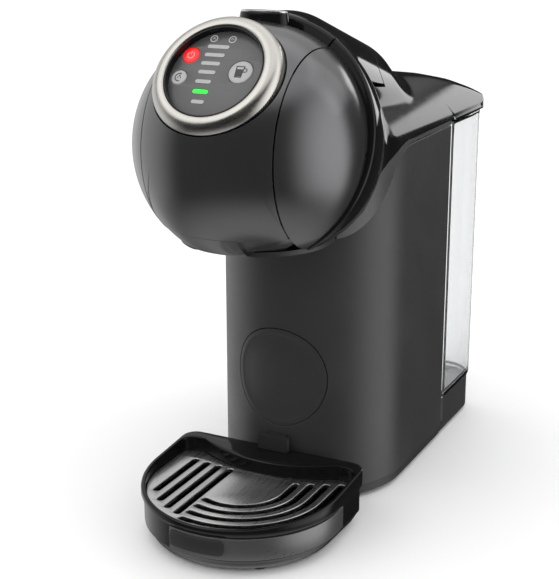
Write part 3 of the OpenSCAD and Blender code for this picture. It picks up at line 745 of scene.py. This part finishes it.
def display_signs():
    """Generic signs on the keys: a tumbler, a drop in an arc and a power mark."""
    cup = [(-2.6, 2.9), (1.5, 2.9), (1.0, -2.9), (-2.1, -2.9)]
    fill = [(-2.15, 1.4), (1.05, 1.4), (0.75, -2.5), (-1.85, -2.5)]
    drop = arc_points(0.35, -0.35, 0.95, -35, 215, 18) + [(0.35, 1.7)]
    boost = (BOOST_AT, ICON_DARK, "boost_key", "badge_black")
    power = (POWER_AT, ICON, "power_key", "icon_grey")
    warm = (TEMPERATURE_AT, ICON_DARK, "temperature_key", "badge_black")
    for name, loops, (at, material, body, slot) in (
            ("sign_tumbler", stroke(cup, 0.5, True), boost),
            ("sign_tumbler_fill", [fill], boost),
            ("sign_tumbler_ear", stroke(arc_points(2.2, 0.9, 1.0, 130, -130, 14), 0.45), boost),
            ("sign_power", stroke(arc_points(0, 0, 1.75, 125, 415, 26), 0.42), power),
            ("sign_power_bar", stroke([(0, 0.3), (0, 2.3)], 0.42), power),
            ("sign_warm", stroke(arc_points(0.3, 0, 2.1, 70, 290, 22), 0.5), warm),
            ("sign_drop", [drop], warm)):
        symbol(name, loops, at, SIGN_HEIGHT, material, body)


def display():
    """Display lens with its key holes, a fine edge and the two ringed status marks."""
    loops = [arc_points(0, 0, 24.55, 0, 360, 181)[:-1]]
    for (x, y), r in ((POWER_AT, POWER_R), (TEMPERATURE_AT, TEMPERATURE_R), (BOOST_AT, BOOST_R)):
        loops.append(arc_points(x, y, r + KEY_GAP, 0, 360, 73)[:-1])
    obj = outline_plate("display_lens", loops, -6.0, -4.0, 0.12)
    obj.matrix_world = ring_matrix()
    placed(obj, DISPLAY, "handle", ("display_disc",))
    for k, (x, marks) in enumerate(((-7.9, [(-0.7, -0.5), (0, 0.8), (0.7, -0.5)]),
                                    (2.1, [(-0.8, 0), (0, 0.55), (0.8, 0)]))):
        symbol("status_ring_%d" % k, stroke(arc_points(0, 0, 1.75, 0, 345, 30), 0.6, True), (x, 20),
               -4.0, ICON, "handle")
        symbol("status_mark_%d" % k, stroke(marks, 0.4), (x, 20), -4.0, ICON, "handle")
    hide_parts("status_icons")


def oval_stack(name, rows, place, material, nodes=()):
    """A solid of stacked ovals, from rows of half length, half width and height."""
    steps = 96
    turn = np.arange(steps) * 2 * math.pi / steps
    pts = np.concatenate([np.stack([a * np.cos(turn), b * np.sin(turn), np.full(steps, h)], 1)
                          for a, b, h in rows])
    return local_piece(name, pts, closed_faces(len(rows), steps), place, material, "handle", nodes)


def badge():
    """Plain oval badge on a plinth on top of the head, with a raised bright rim."""
    low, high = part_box("top_badge")
    c = [0, behind((low[1] + high[1]) / 2), high[2] / MM]
    centre = Vector(to_row([c])[0]) + Vector((0, 0, -0.0012))
    place = Matrix.Translation(centre) @ Matrix.Rotation(math.radians(-6), 4, "X")
    plinth = [(14.2, 9.0, -8.2), (13.4, 8.3, -5.0), (12.9, 7.9, -2.2), (12.8, 7.8, -1.1),
              (12.5, 7.5, -0.8), (11.0, 6.0, -0.7)]
    oval_stack("badge_plinth", plinth, place, BLACK)
    crown = [(1.0, -1.4), (1.0, -0.1), (0.975, 0.12), (0.93, 0.2), (0.5, 0.32), (0.02, 0.36)]
    for name, scale, rise, material, slot in (("badge_rim", 1.0, 0.0, STEEL, "steel"),
                                              ("badge_face", 0.88, 0.15, BLACK, "badge_black")):
        rows = [(12.4 * scale * f, 7.4 * scale * f, h + rise) for f, h in crown]
        oval_stack(name, rows, place, material, ("top_badge",))


# ---- column, trim and lid ----


def d_path(r, y_front, y_back, n_arc=96, n_side=26):
    """D-shaped path from the back left round the front to the back right."""
    left = [(-r, y) for y in np.linspace(y_back, y_front, n_side)[:-1]]
    front = arc_points(0, y_front, r, 180, 360, n_arc)
    right = [(r, y) for y in np.linspace(y_front, y_back, n_side)[1:]]
    return np.array(left + front + right)


def wall(path, low, high, rows):
    """Points of a wall on a path, from low(y) to high(y)."""
    out = []
    for t in np.linspace(0, 1, rows):
        z = low(path[:, 1]) * (1 - t) + high(path[:, 1]) * t
        out.append(np.column_stack([path, z]))
    return out


CAP_Z, CAP_R = 73.0, 28.0
COLUMN_R, COLUMN_Y, COLUMN_BACK, COLUMN_LOW = 53.5, 92.0, 159.5, 8.0


def on_column(s, z, r=COLUMN_R):
    """Point on the round front, s millimetres along it from the middle."""
    a = s / COLUMN_R
    return [r * math.sin(a), COLUMN_Y - r * math.cos(a), z]


def column():
    """Satin column with a round opening for the service cap."""
    side_n, arc_n, span = 26, 97, 24
    path = d_path(COLUMN_R, COLUMN_Y, COLUMN_BACK, arc_n, side_n)
    mid = side_n - 1 + arc_n // 2
    z_lo, z_hi, z_n = 33.0, 113.0, 24
    low = wall(path, lambda y: 0 * y + COLUMN_LOW, lambda y: 0 * y + z_lo, 6)
    window = wall(path, lambda y: 0 * y + z_lo, lambda y: 0 * y + z_hi, z_n + 1)
    top = wall(path, lambda y: 0 * y + z_hi, trim_edge, 26)
    rows = np.array(low[:-1] + window + top[1:])
    r0 = len(low) - 1
    n, cols = rows.shape[0], rows.shape[1]
    pts = list(rows.reshape(-1, 3))
    faces = []
    for i in range(n - 1):
        for j in range(cols - 1):
            if r0 <= i < r0 + z_n and mid - span <= j < mid + span:
                continue
            faces.append((i * cols + j, i * cols + j + 1, (i + 1) * cols + j + 1, (i + 1) * cols + j))
    frame_ids = [(r0, j) for j in range(mid - span, mid + span)]
    frame_ids += [(i, mid + span) for i in range(r0, r0 + z_n)]
    frame_ids += [(r0 + z_n, j) for j in range(mid + span, mid - span, -1)]
    frame_ids += [(i, mid - span) for i in range(r0 + z_n, r0, -1)]
    outer = [i * cols + j for i, j in frame_ids]
    flat = np.array([(COLUMN_R * math.atan2(x, COLUMN_Y - y), z - CAP_Z)
                     for x, y, z in (rows[i, j] for i, j in frame_ids)])
    rings = [outer]
    steps = 8
    unit = flat / np.linalg.norm(flat, axis=1)[:, None]
    for k in range(1, steps + 1):
        t = 1 - (1 - k / steps) ** 1.3
        ring = flat * (1 - t) + unit * (CAP_R + 0.35) * t
        rings.append(list(range(len(pts), len(pts) + len(ring))))
        pts.extend(on_column(s, CAP_Z + z) for s, z in ring)
    m = len(outer)
    for a, b in zip(rings[:-1], rings[1:]):
        faces += [(a[j], a[(j + 1) % m], b[(j + 1) % m], b[j]) for j in range(m)]
    obj = piece("column", pts, faces, COLUMN, "housing", ("column_shell",),
                centre=(0, 110, 100))
    fix_normals(obj, (0, 110, 100))
    solidify(obj, 2.4)
    return bevel(obj, 0.5, 3)


def fix_normals(obj, centre):
    """Makes all faces of an open sheet point away from centre."""
    bm = bmesh.new()
    bm.from_mesh(obj.data)
    bmesh.ops.recalc_face_normals(bm, faces=bm.faces)
    c = Vector(to_row([centre])[0])
    total = sum((f.calc_center_median() - c).dot(f.normal) * f.calc_area() for f in bm.faces)
    if total < 0:
        bmesh.ops.reverse_faces(bm, faces=bm.faces)
    bm.to_mesh(obj.data)
    bm.free()
    obj.data.shade_smooth()


def service_cap():
    """Round cap, flush in the column, with a soft edge and a shallow dish."""
    rows = []
    n = 96
    for r, sink in ((CAP_R, 0.0), (CAP_R - 1.0, 0.0), (CAP_R - 2.2, 0.0), (CAP_R - 3.0, 0.25),
                    (CAP_R - 4.0, 0.5), (18, 0.6), (10, 0.65), (0.05, 0.65)):
        rows.append([on_column(r * math.cos(a), CAP_Z + r * math.sin(a), COLUMN_R - sink)
                     for a in np.arange(n) * 2 * math.pi / n])
    pts = np.array(rows).reshape(-1, 3)
    obj = piece("service_cap_face", pts, grid_faces(len(rows), n, wrap=True), COLUMN, "housing",
                ("service_cap",), centre=(0, 110, 73))
    solidify(obj, 2.0)
    return bevel(obj, 0.5, 3)


def neck_trim():
    """Satin trim that runs down from the neck, between the hood and the column."""
    trim_y = 66.0
    path = d_path(COLUMN_R, trim_y, COLUMN_BACK, 96, 60)
    keep = [p for p in path if hood_edge(p[1]) - trim_edge(p[1]) > 0.8
            and (abs(p[0]) > 38.5 or p[1] > 70)]
    keep = np.array(keep)
    objs = []
    for name, part in (("trim_left", keep[keep[:, 0] < 0]), ("trim_right", keep[keep[:, 0] > 0])):
        rows = wall(part, lambda y: np.maximum(trim_edge(y) + 0.35, 158),
                    lambda y: hood_edge(y) - 0.1, 12)
        obj = piece(name, np.concatenate(rows), grid_faces(len(rows), len(part)), TRIM, "housing",
                    ("neck_trim",), centre=(0, 110, 180))
        solidify(obj, 2.2)
        objs.append(bevel(obj, 0.3, 2))
    return objs


LID_LOW = 200.4
LID_FRONT = [(54.8, 161.0), (53.5, 160.8), (51.8, 160.6), (49.9, 160.0), (48.4, 157.2), (46.9, 153.6),
             (44.8, 148.4), (43.0, 143.6), (41.0, 139.0)]


def lid_outline():
    """Lid plan: straight behind the ridge, slanted to the sides, rounded at the back."""
    back, rb, w = behind(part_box("tank_lid")[1][1]), 20.0, NECK_W
    rear = arc_points(w - rb, back - rb, rb, 0, 90, 25) + arc_points(rb - w, back - rb, rb, 90, 180, 25)
    side = [(w, y) for y in np.linspace(163, back - rb - 1, 22)]
    far = [(-w, y) for y in np.linspace(back - rb - 1, 163, 22)]
    front = [(x, 139.0) for x in np.linspace(-41, 41, 50)[1:-1]]
    left = [(-x, y) for x, y in LID_FRONT]
    return front + LID_FRONT[::-1] + side + rear + far + left


def tank_lid():
    """Glossy lid that carries the head's skin on to the back."""
    loop = np.array(lid_outline())
    centre = np.array([0, 185.0])
    rows = []
    for t in np.concatenate([np.linspace(0.03, 0.9, 30), np.linspace(0.92, 0.994, 8)]):
        q = centre + (loop - centre) * t
        origin = np.column_stack([q, np.full(len(q), 190.0)])
        rows.append(cast(origin, np.tile([0, 0, 1.0], (len(q), 1)), 0.0, 80.0))
    edge = rows[-1]
    low = edge.copy()
    low[:, :2] = loop
    low[:, 2] = LID_LOW
    high = edge.copy()
    high[:, :2] = loop
    high[:, 2] = np.maximum(edge[:, 2] - 0.6, LID_LOW + 0.8)
    for t in np.linspace(0, 1, 5):
        rows.append(high * (1 - t) + low * t)
    pts = np.concatenate(rows)
    n = len(loop)
    faces = grid_faces(len(rows), n, wrap=True) + [tuple(range(n))]
    obj = piece("lid", pts, faces, BLACK, "lid", ("tank_lid",), centre=(0, 185, 195))
    fix_normals(obj, (0, 185, 195))
    solidify(obj, 1.8, even=False)
    return bevel(obj, 0.3, 3)


# ---- tray ----


# Centre of the tray's and the grid's plans, and the notch for the rail at the back
PLAN_CENTRE = (0.0, -4.0)
NOTCH_X, NOTCH_Y = 9.4, 31.6


def tray_rim_z(y):
    """Height of the tray's rim, which rises a little towards the back."""
    return 30.125 + 0.075 * y


def radial(inside, angles, centre):
    """Distance from centre to a shape's edge at each angle."""
    return np.array([last_inside(lambda r: inside(centre[0] + r * math.cos(a),
                                                  centre[1] + r * math.sin(a)), 5.0, 90.0, 30)
                     for a in angles])


def rounded_plan(r, back, c):
    """Test for a plan that is round in front and has corners of radius c at the back."""

    def inside(x, y):
        if y < 0:
            return math.hypot(x, y) < r
        if abs(x) >= r or y >= back:
            return False
        dx, dy = abs(x) - (r - c), y - (back - c)
        return dx <= 0 or dy <= 0 or math.hypot(dx, dy) < c

    return inside


def tray():
    """Glossy tray: round foot, recess for the band, rolled rim, shelf and bowl."""
    centre = PLAN_CENTRE
    notch = [math.atan2(NOTCH_Y - centre[1], s * NOTCH_X) for s in (1, -1)]
    angles = sorted(list(np.linspace(-math.pi / 2, 3 * math.pi / 2, 361)[:-1])
                    + [notch[0] - 1e-3, notch[0] + 1e-3, notch[1] - 1e-3, notch[1] + 1e-3])
    outer_plan, inner_plan = rounded_plan(TRAY_R, 36.0, 8.0), rounded_plan(53.0, 29.0, 7.0)

    def outer(x, y):
        return outer_plan(x, y) and not (abs(x) < NOTCH_X and y > NOTCH_Y)

    def inner(x, y):
        return inner_plan(x, y) and math.hypot(x, y - COLUMN_Y) > 75.0

    r_out = radial(outer, angles, centre)
    r_in = radial(inner, angles, centre)
    ca, sa = np.cos(angles), np.sin(angles)

    def loop(r, z):
        x, y = centre[0] + r * ca, centre[1] + r * sa
        return np.column_stack([x, y, np.broadcast_to(z, x.shape) if np.isscalar(z) else z(y)])

    front = np.array(angles)
    band = np.clip((math.radians(100) - np.abs(front + math.pi / 2)) / math.radians(1.5), 0, 1)
    dip = 2.3 * band + 1.5 * (1 - band)
    rows = [loop(r_out * 0.02, 2.0), loop(r_out * 0.5, 2.0)]
    for inset, z in ((8, 2.0), (6.6, 2.1), (5.6, 2.6), (3.4, 6.0), (2.2, 7.9), (1.6, 8.5), (1.5, 8.9),
                     (dip, 9.0), (dip, 12.0), (dip, 18.0), (dip, 21.2), (1.5, 21.3), (1.2, 21.7),
                     (0.3, 23.4), (0, 24.2)):
        rows.append(loop(r_out - inset, z))
    for inset, drop in ((0, 1.1), (0.15, 0.45), (0.5, 0.12), (1.0, 0)):
        rows.append(loop(r_out - inset, lambda y: tray_rim_z(y) - drop))
    gap = np.maximum(r_out - r_in, 2.1)
    rows += [loop(r_out - 1.0 - (gap - 2.0) * t, tray_rim_z) for t in (0.4, 0.8, 1.0)]
    rim_in = r_out - gap
    for inset, drop in ((-0.4, 0.15), (-0.08, 0.6), (0, 1.2)):
        rows.append(loop(rim_in - inset, lambda y: tray_rim_z(y) - drop))
    for inset, z in ((0, 22.5), (0.2, 22.15), (2.4, 22.1), (2.9, 21.8), (3.1, 21.0), (3.4, 8.0),
                     (4.2, 5.9), (6.0, 5.1)):
        rows.append(loop(rim_in - inset, z))
    rows += [loop(rim_in * 0.5, 5.0), loop(rim_in * 0.02, 5.0)]
    pts = np.concatenate(rows)
    faces = closed_faces(len(rows), len(angles))
    obj = piece("tray_body", pts, faces, BLACK, "tray", ("drip_tray",))
    fix_normals(obj, (0, 0, 15))
    return bevel(obj, 0.18, 2, angle=50)


def curved_slab(name, r0, r1, z0, z1, a0, a1, edge, material, nodes, ends=0.0):
    """Part of a ring round the tray's front, with rounded edges and ends."""
    n = 120
    rows = []
    section = [(r0, z0), (r1 - edge, z0), (r1 - edge * 0.3, z0 + edge * 0.3), (r1, z0 + edge),
               (r1, (z0 + z1) / 2), (r1, z1 - edge), (r1 - edge * 0.3, z1 - edge * 0.3),
               (r1 - edge, z1), (r0, z1)]
    for a in np.radians(np.linspace(a0, a1, n) - 90):
        mid = (z0 + z1) / 2
        shrink = 1.0
        if ends:
            d = min(a - math.radians(a0 - 90), math.radians(a1 - 90) - a) * r1
            shrink = math.sqrt(max(0.0, 1 - (1 - min(1.0, max(0.02, d) / ends)) ** 2)) * 0.6 + 0.4
        rows.append([(r * math.cos(a), r * math.sin(a), mid + (z - mid) * shrink) for r, z in section])
    pts = np.array(rows).reshape(-1, 3)
    obj = piece(name, pts, closed_faces(n, len(section)), material, "tray", nodes)
    fix_normals(obj, (0, 0, 15))
    return bevel(obj, 0.12, 2, angle=50)


def slot_loops():
    """Outlines of the grid's straight and curved slots."""
    half, straight_x, straight_pitch = 2.0, -16.5, 7.8
    curved_r, curved_pitch, curved_x = 25.5, 7.6, -1.5
    loops = []
    for i in range(4):
        x = straight_x - i * straight_pitch
        y0 = -math.sqrt(48.6 ** 2 - x * x) + 3
        y1 = 13 + 1.1 * i
        loops.append(arc_points(x, y1, half, 0, 180, 13) + arc_points(x, y0, half, 180, 360, 13))
    for i in range(4):
        r = curved_r + i * curved_pitch
        start = -90 - 560 / r
        outer = arc_points(0, 0, r + half, start, 0, 40)
        cap = arc_points(r, 12 + 3.2 * i, half, 0, 180, 13)
        inner = arc_points(0, 0, r - half, 0, start, 40)
        end = arc_points(*arc_points(0, 0, r, start, start, 1)[0], half, start + 180, start + 360, 13)
        loops.append([(x + curved_x, y) for x, y in outer + cap + inner + end[1:-1]])
    return loops


def drip_grid():
    """Brushed grid with rounded slot edges."""
    inside_plan = rounded_plan(52.6, 28.6, 6.6)

    def inside(x, y):
        return inside_plan(x, y) and math.hypot(x, y - COLUMN_Y) > 75.4

    angles = np.linspace(0, 2 * math.pi, 400, endpoint=False)
    r = radial(inside, angles, PLAN_CENTRE)
    outer = [(d * math.cos(a), PLAN_CENTRE[1] + d * math.sin(a)) for d, a in zip(r, angles)]
    obj = outline_plate("grid", [outer] + slot_loops(), 22.3, 24.5, 0.35)
    obj.data.transform(Matrix.Translation((0, TRAY_Y * MM, 0)))
    placed(obj, GRID, "grid", ("drip_grid",))
    return obj


# ---- tank ----


def rounded_box(w, front, back, rf, rb, n=10):
    """Plan with corner radius rb at the back and rf in front."""
    rear = arc_points(w - rb, back - rb, rb, 0, 90, n) + arc_points(rb - w, back - rb, rb, 90, 180, n)
    left = arc_points(rf - w, front + rf, rf, 180, 270, n)
    return rear + left + arc_points(w - rf, front + rf, rf, 270, 360, n)


def water_tank():
    """Clear tank: outer wall, rolled lip, inner wall with a real thickness, and a thick floor."""
    w, front, back = 53.0, 161.5, 229.5

    def loop(t, z):
        p = rounded_box(w - t, front + t, back - t, max(0.8, 5 - t), 20 - t)
        return np.column_stack([p, np.full(len(p), z)])

    rows = [loop(t, z) for t, z in (
        (30, 24.0), (6, 24.0), (2.0, 24.0), (0.6, 24.6), (0.0, 26.0), (0.0, 60.0), (0.0, 120.0),
        (0.0, 190.0), (0.0, 196.5), (-0.2, 197.2), (-0.2, 199.2), (0.1, 199.6), (1.0, 199.7),
        (2.0, 199.6), (2.2, 199.2), (2.2, 190.0), (2.2, 120.0), (2.2, 60.0), (2.3, 30.0),
        (3.0, 28.0), (5.0, 27.1), (30, 27.0))]
    pts = np.concatenate(rows)
    faces = closed_faces(len(rows), len(rows[0]))
    obj = piece("tank_wall", pts, faces, CLEAR, "tank", ("water_tank",))
    fix_normals(obj, (0, 195, 110))
    return obj


def hinge_eyes():
    """The tank's two hinge eyes and their stems."""
    pivot = JOINTS["lid_open"]["pos_m"]
    y, z = behind(pivot[1]), pivot[2] / MM
    pts, faces = [], []
    for s in (-1, 1):
        start = len(pts)
        ring = []
        for a in np.radians(np.linspace(-20, 200, 23)):
            ring.append((y + 2.8 * math.cos(a), z + 2.8 * math.sin(a)))
        ring += [(y - 2.8, 197.9), (y + 0.4, 197.9)]
        for x in (s * 24.5 - 2.4, s * 24.5 + 2.4):
            pts.extend((x, p, q) for p, q in ring)
        m = len(ring)
        faces += [(start + i, start + (i + 1) % m, start + m + (i + 1) % m, start + m + i)
                  for i in range(m)]
        faces += [tuple(range(start, start + m)), tuple(range(start + m, start + 2 * m))]
    obj = piece("tank_hinge_eyes", pts, faces, CLEAR, "tank", ())
    fix_normals(obj, (0, y, z))
    return bevel(obj, 0.25, 2)


# ---- the other CAD parts ----

KEPT = {
    "base_plate": DARK, "rubber_feet": RUBBER, "base_screws": STEEL, "rear_panel": DARK,
    "head_underside": DARK, "head_frame": DARK, "handle_pin": STEEL, "tray_rail": DARK,
    "tank_dock": DARK, "dock_seal": SEAL, "cable_gland": RUBBER, "pump": CAST,
    "pump_mounts": RUBBER, "heater": CAST, "flow_meter": WHITE, "water_hoses": HOSE,
    "control_board": BOARD, "ring_seat": BLACK, "level_bars": ICON, "active_bar": GREEN,
    "injection_plate": DARK, "piercing_needle": STEEL, "pod_gasket": SEAL, "pod_holder": DARK,
    "pod_holder_front": FACE, "tank_valve": DARK, "valve_seal": SEAL, "lid_hinge_pin": STEEL,
    "tray_feet": RUBBER,
}
FINE_EDGES = {"level_bars": 0.03, "active_bar": 0.03, "piercing_needle": 0.05, "dock_seal": 0.3,
              "valve_seal": 0.3, "pod_gasket": 0.3, "base_screws": 0.2, "pod_holder_front": 0.25,
              "ring_seat": 0.2, "water_hoses": 0.0}


def finish_kept():
    """Procedural finish and soft edges on the CAD parts that stay."""
    for node, material in KEPT.items():
        obj = frame["nodes"][node]
        obj.data.materials.clear()
        obj.data.materials.append(material)
        for slot_ in obj.material_slots:
            slot_.link = "OBJECT"
            slot_.material = material
        width = FINE_EDGES.get(node, 0.45)
        if width:
            bevel(obj, width, 2, angle=32)


# ---- stage, light and camera ----


def world():
    """Studio surround: white to look at, even light, and soft panels to be reflected."""
    w = bpy.data.worlds.new("studio")
    bpy.context.scene.world = w
    w.use_nodes = True
    w.cycles.sampling_method = "NONE"
    g = Graph(w.node_tree)
    d = g.add("ShaderNodeTexCoord").outputs["Generated"]
    x, y, z = g.xyz(d)
    level = g.smooth(g.math("ABSOLUTE", g.math("SUBTRACT", z, 0.05)), 0.5, 0.85, 1.0, 0.1)

    def toward(dx, dy, low, high, strength):
        along = g.math("ADD", g.math("MULTIPLY", x, dx), g.math("MULTIPLY", y, dy))
        return g.math("MULTIPLY", g.smooth(along, low, high, 0.0, strength), level)

    def between(value, low, high, soft=0.008):
        rise = g.smooth(value, low - soft, low + soft)
        return g.math("MULTIPLY", rise, g.smooth(value, high - soft, high + soft, 1.0, 0.0))

    right = toward(0.91, 0.41, 0.5, 1.0, 1.9)
    right = g.math("MULTIPLY", right, g.smooth(y, 0.45, 0.7, 1.0, 0.0))
    left = toward(-0.98, 0.2, 0.55, 0.98, 1.0)
    top = g.smooth(z, 0.6, 0.85, 0.0, 1.35)
    low = g.smooth(z, -0.55, -0.95, 0.0, 0.7)
    upper_back = g.math("MULTIPLY", g.smooth(y, 0.4, 0.75, 0.0, 0.8), g.smooth(z, 0.28, 0.46))
    panel = g.math("MULTIPLY", between(x, 0.08, 0.33), between(z, -0.04, 0.34))
    panel = g.math("MULTIPLY", panel, g.smooth(y, 0.7, 0.75, 0.0, 3.0))
    reflected = 0.03
    for part in (right, left, top, low, upper_back, panel):
        reflected = g.math("ADD", part, reflected)
    even = g.smooth(z, -0.2, 1.0, 0.85, 1.3)
    path = g.add("ShaderNodeLightPath").outputs
    seen = g.math("MAXIMUM", path["Is Camera Ray"], path["Is Transmission Ray"])
    light = g.math("ADD", g.math("MULTIPLY", path["Is Glossy Ray"], reflected),
                   g.math("MULTIPLY", g.math("SUBTRACT", 1.0, path["Is Glossy Ray"]), even))
    strength = g.math("ADD", seen, g.math("MULTIPLY", g.math("SUBTRACT", 1.0, seen), light))
    back = g.add("ShaderNodeBackground", {"Color": (1, 1, 1, 1), "Strength": strength})
    out = g.add("ShaderNodeOutputWorld")
    g.link(back.outputs[0], out, "Surface")


def floor():
    """Plain pale floor, left out of reflections so that they show the surround."""
    mesh = bpy.data.meshes.new("floor")
    s = 14
    mesh.from_pydata([(-s, -s, 0), (s, -s, 0), (s, s, 0), (-s, s, 0)], [], [(0, 1, 2, 3)])
    obj = bpy.data.objects.new("floor", mesh)
    bpy.context.scene.collection.objects.link(obj)
    obj.visible_glossy = False

    def build(g, bsdf, coords):
        g.link(g.tint(g.noise(coords, 6, 3), (0.93, 0.93, 0.93), (0.96, 0.96, 0.96)), bsdf, "Base Color")
        bump(g, bsdf, g.noise(coords, 300, 3), 2e-5, 0.4)

    mesh.materials.append(shaded("pale_floor", {"Roughness": 0.7}, build))


def softbox(name, at, aim, size, watts):
    """Soft rectangular light, aimed at a point."""
    light = bpy.data.lights.new(name, "AREA")
    light.shape = "RECTANGLE"
    light.size, light.size_y = size
    light.energy = watts
    obj = bpy.data.objects.new(name, light)
    obj.location = at
    obj.rotation_euler = (Vector(aim) - Vector(at)).to_track_quat("-Z", "Y").to_euler()
    bpy.context.scene.collection.objects.link(obj)
    return obj


def camera():
    """Camera at the angle from which the machine is shown."""
    data = bpy.data.cameras.new("camera")
    data.sensor_width = 36
    data.lens = 80.33
    data.shift_x, data.shift_y = -0.0112, -0.0085
    obj = bpy.data.objects.new("camera", data)
    obj.location = (0.2989, -0.6435, 0.3283)
    aim = Vector((0, -0.0388, 0.1234))
    obj.rotation_euler = (aim - obj.location).to_track_quat("-Z", "Y").to_euler()
    bpy.context.scene.collection.objects.link(obj)
    bpy.context.scene.camera = obj
    bpy.context.scene.view_settings.view_transform = "Standard"


def build():
    hood()
    handle_cover()
    dome("cheek_left", -1, "dome_left")
    dome("cheek_right", 1, "dome_right")
    strip()
    selector_ring()
    display()
    key("key_power", "power_button", POWER_AT, POWER_R, RED, "power_key")
    key("key_temperature", "temperature_button", TEMPERATURE_AT, TEMPERATURE_R, ICON,
        "temperature_key")
    key("key_boost", "boost_button", BOOST_AT, BOOST_R, ICON, "boost_key")
    display_signs()
    badge()
    column()
    service_cap()
    neck_trim()
    tank_lid()
    water_tank()
    hinge_eyes()
    tray()
    # The band runs only from just left of the front round the right side, so on the left the tray's
    # black shows in the band's recess: painted shade where the band lies in shadow
    curved_slab("band", 52.4, 54.6, 9.1, 21.1, -17, 98, 0.4, BAND, ("tray_band",))
    curved_slab("plate", 54.3, 55.5, 11.5, 20.0, -16.5, 16.5, 0.3, DARK,
                ("tray_plate",), ends=2.5)
    drip_grid()
    finish_kept()


build()
world()
floor()
softbox("key_light", (-0.7, -0.9, 1.3), (0, 0, 0.1), (1.1, 1.1), 3)
softbox("rear_light", (0.9, 0.8, 1.1), (0, 0, 0.1), (0.9, 0.9), 1.5)
camera()
